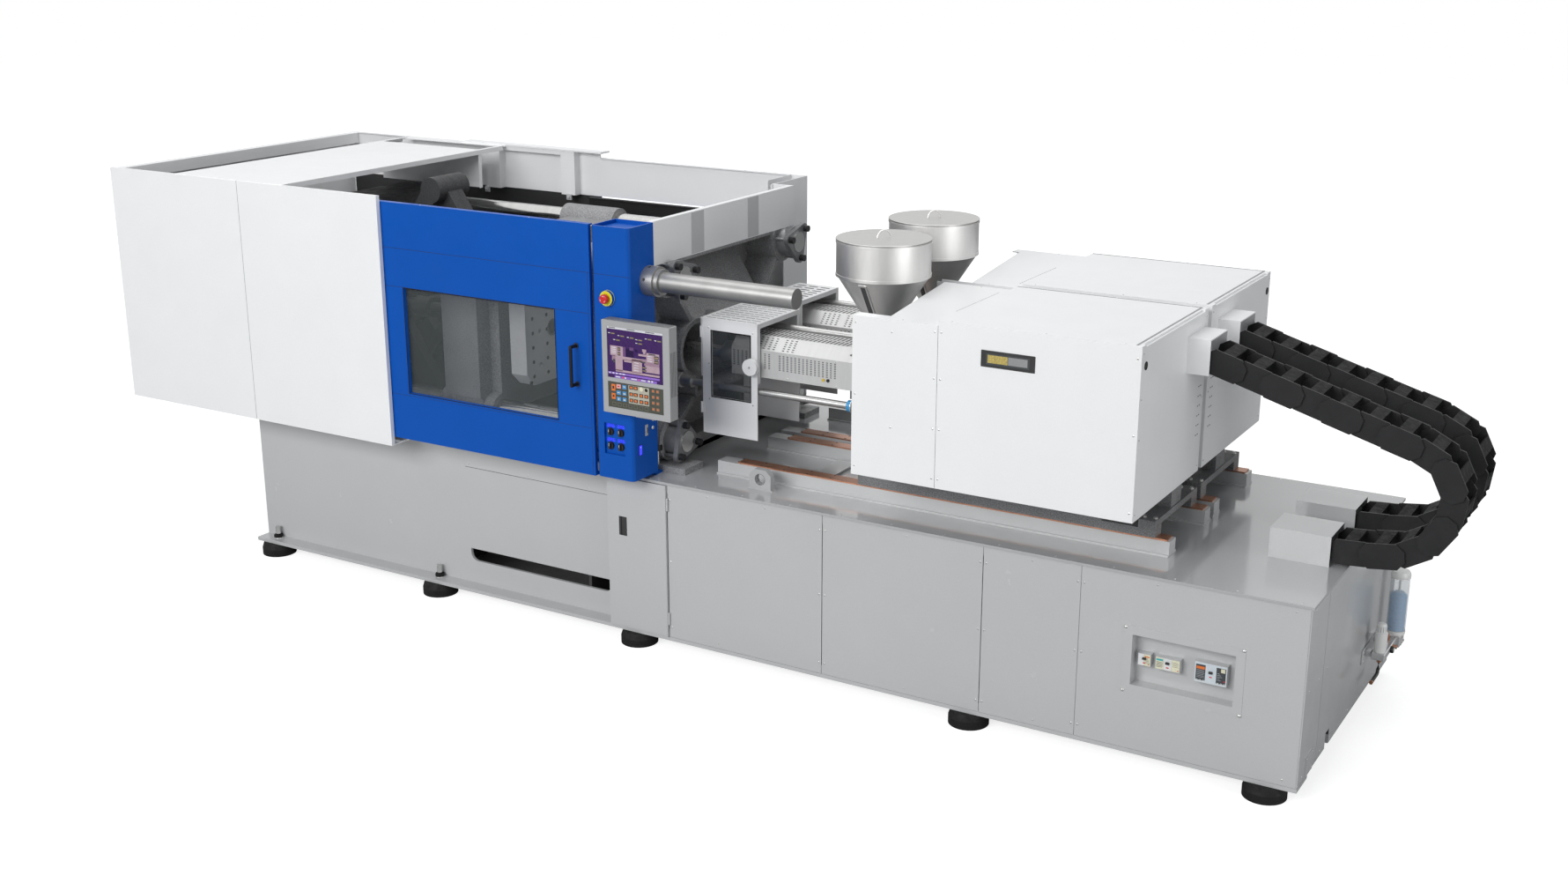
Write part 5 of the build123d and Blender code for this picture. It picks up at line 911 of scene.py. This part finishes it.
# ------ barrel covers: slots, screws and plugs
columns = [-2766, -2744, -2722, -2700, -2602, -2580] + [-2525 + 20.3 * c for c in range(15)]
for i, unit in enumerate(UNITS):
    s = Shape().use(SHADOW)
    y0 = UNIT_Y[i]
    face = y0 - 125.0
    for x in columns:
        for r in range(9):
            z = 1341 + 8.2 * r
            s.block((x, x + 9.5), (face - 0.3, face + 0.3), (z, z + 3.6))
    for x in (-2640, -2614, -2588, -2562, -2512, -2488, -2464):
        for k in range(6):
            d = 6 + 8.0 * k
            s.hull([(x + w, face + d + b - o, 1425 + d + b + o)
                    for w in (0, 11) for b in (0, 3.0) for o in (0.3, -0.3)])
    for x in range(-2700, -2196, 21):
        for y in (y0 - 62, y0 + 6):
            s.block((x, x + 8), (y, y + 56), (1479.7, 1480.35))
    screws(s, "y", face, -1, (-2762, -2480, -2230), (1308, 1416), 3.6, 1.6)
    for x in (-2692, -2284):
        s.use(GOLD).rod("y", (face - 4, face), (x - 10, 1328), 7.5)
        s.use(OXIDE).rod("y", (face - 5, face + 1), (x + 14, 1329), 7.5)
    s.done("barrel_cover_slots_" + unit, "carriage_" + unit)


# ------ purge guards
def round_slot(s, x, y, long, wide, sides):
    """Dark slot with round ends in the roof of a purge guard."""
    s.use(SHADOW).block((x, x + long), (y, y + wide), (GUARD_TOP - 0.3, GUARD_TOP + 0.35))
    for end in (x, x + long):
        s.rod("z", (GUARD_TOP - 0.3, GUARD_TOP + 0.36), (end, y + wide / 2), wide / 2, sides)


s = Shape()
for r in range(5):
    for c in range(9):
        for half in (0, 24):
            round_slot(s, -2900 + 54 * r + half, 322 + 38 * c, 19, 5.5, 8)
for r in range(3):
    for c in range(8):
        round_slot(s, -2900 + 66 * r, 846 + 42 * c, 38, 13, 12)
screws(s, "z", GUARD_TOP, 1, (-2915, -2770, -2630), (308, 668), 3.6, 1.6)
s.done("purge_guard_slots", "base")

s = Shape()
s.use(RUBBER).frame("y", (297.8, 299.6), (-2868, -2652), (1178, 1494), 5)
screws(s, "y", GUARD_DOOR_FACE, -1, (-2878, -2642), (1168, 1336, 1504), 4.2, 1.8)
s.use(ZINC).rod("y", (262.6, 261.6), (-2641, CLAMP_AXIS), 5, 6)
s.done("purge_door_details", "purge_door")

# ------ lubrication unit
RESERVOIR, FILTER = (74, 1212), (62, 990)
s = Shape()
s.use(GREY).block((0.2, 6), (930, 1272), (250, 314), 1.5)
screws(s, "x", 6.0, 1, (944, 1090, 1258), (262, 302), 4.5, 2.5)
s.use(ALUMINIUM).block((6, 30), (1182, 1242), (266, 302), 2)
s.block((6, 30), (970, 1010), (278, 302), 2)
s.block((30, 105), (1170, 1254), (262, 314), 3)
s.block((34, 90), (956, 1171), (274, 306), 3)
for y in (1186, 1212, 1238):
    hex_bolt(s, "x", 105.0, 1, (y, 276), 6, 5)
s.use(WHITE_PLASTIC).lathe("z", RESERVOIR, [(312, 40), (324, 42), (330, 40.8)], 40)
s.lathe("z", RESERVOIR, [(572, 41), (580, 43), (590, 42), (602, 36), (604, 14)], 40)
bellows = [(336 + 9 * k + (0, 4)[k % 2], (36.5, 34.0)[k % 2]) for k in range(18)]
s.use(ACCENT_BLUE).lathe("z", RESERVOIR, [(331, 36.5)] + bellows + [(505, 20)], 36)
s.use(ZINC).rod("z", (500, 572), RESERVOIR, 5, 14)
s.use(WHITE_PLASTIC).lathe("z", FILTER, [(306, 24), (330, 26), (392, 26), (396, 22)], 32)
s.lathe("z", FILTER, [(396, 20), (424, 20), (432, 17), (436, 8)], 32)
s.use(GREY_MATT)
for k in range(12):
    a = math.radians(30 * k)
    x, y = FILTER[0] + 19 * math.cos(a), FILTER[1] + 19 * math.sin(a)
    s.block((x - 1.6, x + 1.6), (y - 1.6, y + 1.6), (398, 422))
s.use(ZINC).rod("y", (1040, 1075), (74, 298), 7, 6)
s.use(COPPER)
for y in (1040, 1086, 1132):
    s.rod("z", (306, 318), (62, y), 9, 6)
    s.lathe("z", (62, y), [(318, 6), (330, 6), (334, 3)], 16)
s.rod("x", (90, 108), (1108, 290), 9, 6)
s.use(GREY_MATT).block((44, 82), (1020, 1054), (305, 330), 4)
s.use(OXIDE).lathe("x", (1070, 290), [(90, 15), (100, 15), (104, 12)])
s.use(PALE).lathe("x", (1070, 290), [(104, 11.5), (105, 11.5)], 24)
s.use(COPPER).rod("z", (256, 274), FILTER, 10, 6)
s.use(BLACK).tube([(62, 990, 262), (62, 990, 222), (62, 985, 209), (62, 974, 205), (62, 880, 205)], 7.6, 18)
s.use(COPPER).rod("y", (870.5, 884), (62, 205), 9, 6)
s.use(CLEAR).ring("z", (330, 574), RESERVOIR, 41.5, 38.5, 44)
lube = s.done("lubrication_unit_dressed", "base")
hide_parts("lubrication_unit")

# ------ dark sheet inside the clamp base: painted shade over the floor seen through its slots
s = Shape()
s.use(BASE_SHADE_SHEET).block((-5590, -3098), (152, 1328), (70, 78))
s.done("base_shade_sheet", "base")

# ------ cable chains, copied from the frame's chains with their own materials
for unit in UNITS:
    name = "cable_chain_" + unit
    chain = bpy.data.objects.new("chain_rolling_" + unit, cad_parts[name].data.copy())
    bpy.context.collection.objects.link(chain)
    chain.data.materials.clear()
    chain.data.materials.append(CHAIN)
    chain.data.materials.append(CHAIN_BAR_SHADED)
    across = [v.co.y for v in chain.data.vertices]
    low, high = min(across) + 0.02, max(across) - 0.02
    # faces between the side plates take the darker copy: painted shade
    for face in chain.data.polygons:
        face.material_index = int(low < face.center.y < high)
    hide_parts(name)
    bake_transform(chain)

# ------ camera, floor and light
camera = bpy.data.objects.new("camera", bpy.data.cameras.new("camera"))
bpy.context.collection.objects.link(camera)
camera.location = at(1488, -6356, 3366)
camera.rotation_euler = (math.radians(90 - 16.823), 0.0, math.radians(30.799))
camera.data.lens = 41.12
camera.data.sensor_width = 36.0
camera.data.clip_end = 200.0
bpy.context.scene.camera = camera


def show_white(tree, shader, rays, white):
    """Two kinds of ray see the white shader; light itself comes from the other one."""
    path = put(tree, "ShaderNodeLightPath")
    seen = put(tree, "ShaderNodeMath", operation="ADD", use_clamp=True)
    tree.links.new(path.outputs[rays[0]], seen.inputs[0])
    tree.links.new(path.outputs[rays[1]], seen.inputs[1])
    mix = put(tree, "ShaderNodeMixShader")
    tree.links.new(seen.outputs[0], mix.inputs["Fac"])
    tree.links.new(shader, mix.inputs[1])
    tree.links.new(white, mix.inputs[2])
    return mix.outputs[0]


bpy.context.scene.view_settings.view_transform = "Standard"
world = bpy.data.worlds.new("studio")
bpy.context.scene.world = world
world.use_nodes = True
tree = world.node_tree
soft = tree.nodes["Background"]
soft.inputs["Color"].default_value = (0.92, 0.96, 1.0, 1.0)
soft.inputs["Strength"].default_value = 0.27
plain = put(tree, "ShaderNodeBackground", Color=(1, 1, 1, 1), Strength=1.0)
seen = show_white(tree, soft.outputs[0], ("Is Camera Ray", "Is Glossy Ray"), plain.outputs[0])
tree.links.new(seen, tree.nodes["World Output"].inputs["Surface"])

floor_mesh = bpy.data.meshes.new("floor")
floor_mesh.from_pydata([(-30, -30, 0), (30, -30, 0), (30, 30, 0), (-30, 30, 0)], [], [(0, 1, 2, 3)])
floor = bpy.data.objects.new("floor", floor_mesh)
bpy.context.collection.objects.link(floor)
floor_mat = finish("floor_white", (0.5, 0.5, 0.5), 0.9, vary=0.004, specular=0.0)
tree, bsdf = nodes_of(floor_mat)
# The glow grows with the distance from the machine, so that the floor fades into the white
glow = put(tree, "ShaderNodeEmission")
away = put(tree, "ShaderNodeVectorMath", operation="LENGTH")
tree.links.new(put(tree, "ShaderNodeTexCoord").outputs["Object"], away.inputs[0])
tree.links.new(spread(tree, away.outputs["Value"], 0.78, 1.0, 3.5, 9.0), glow.inputs["Strength"])
plus = put(tree, "ShaderNodeAddShader")
tree.links.new(bsdf.outputs[0], plus.inputs[0])
tree.links.new(glow.outputs[0], plus.inputs[1])
seen = show_white(tree, bsdf.outputs[0], ("Is Camera Ray", "Is Transmission Ray"), plus.outputs[0])
end = next(n for n in tree.nodes if n.bl_idname == "ShaderNodeOutputMaterial")
tree.links.new(seen, end.inputs["Surface"])
floor_mesh.materials.append(floor_mat)


def lamp(name, place, aim, size, power):
    """Rectangular area light."""
    data = bpy.data.lights.new(name, "AREA")
    data.shape = "RECTANGLE"
    data.size, data.size_y = size
    data.energy = power
    obj = bpy.data.objects.new(name, data)
    bpy.context.collection.objects.link(obj)
    obj.location = place
    obj.rotation_euler = (Vector(aim) - Vector(place)).to_track_quat("-Z", "Y").to_euler()


lamp("key", (-1.6, -12.0, 6.5), (-0.2, 0, 0.9), (9, 5), 1130)
lamp("side", (9.5, -2.5, 1.8), (0.5, 0, 0.9), (5, 3), 175)
lamp("top", (-0.5, 0.5, 9.0), (-0.3, 0, 0), (9, 5), 350)
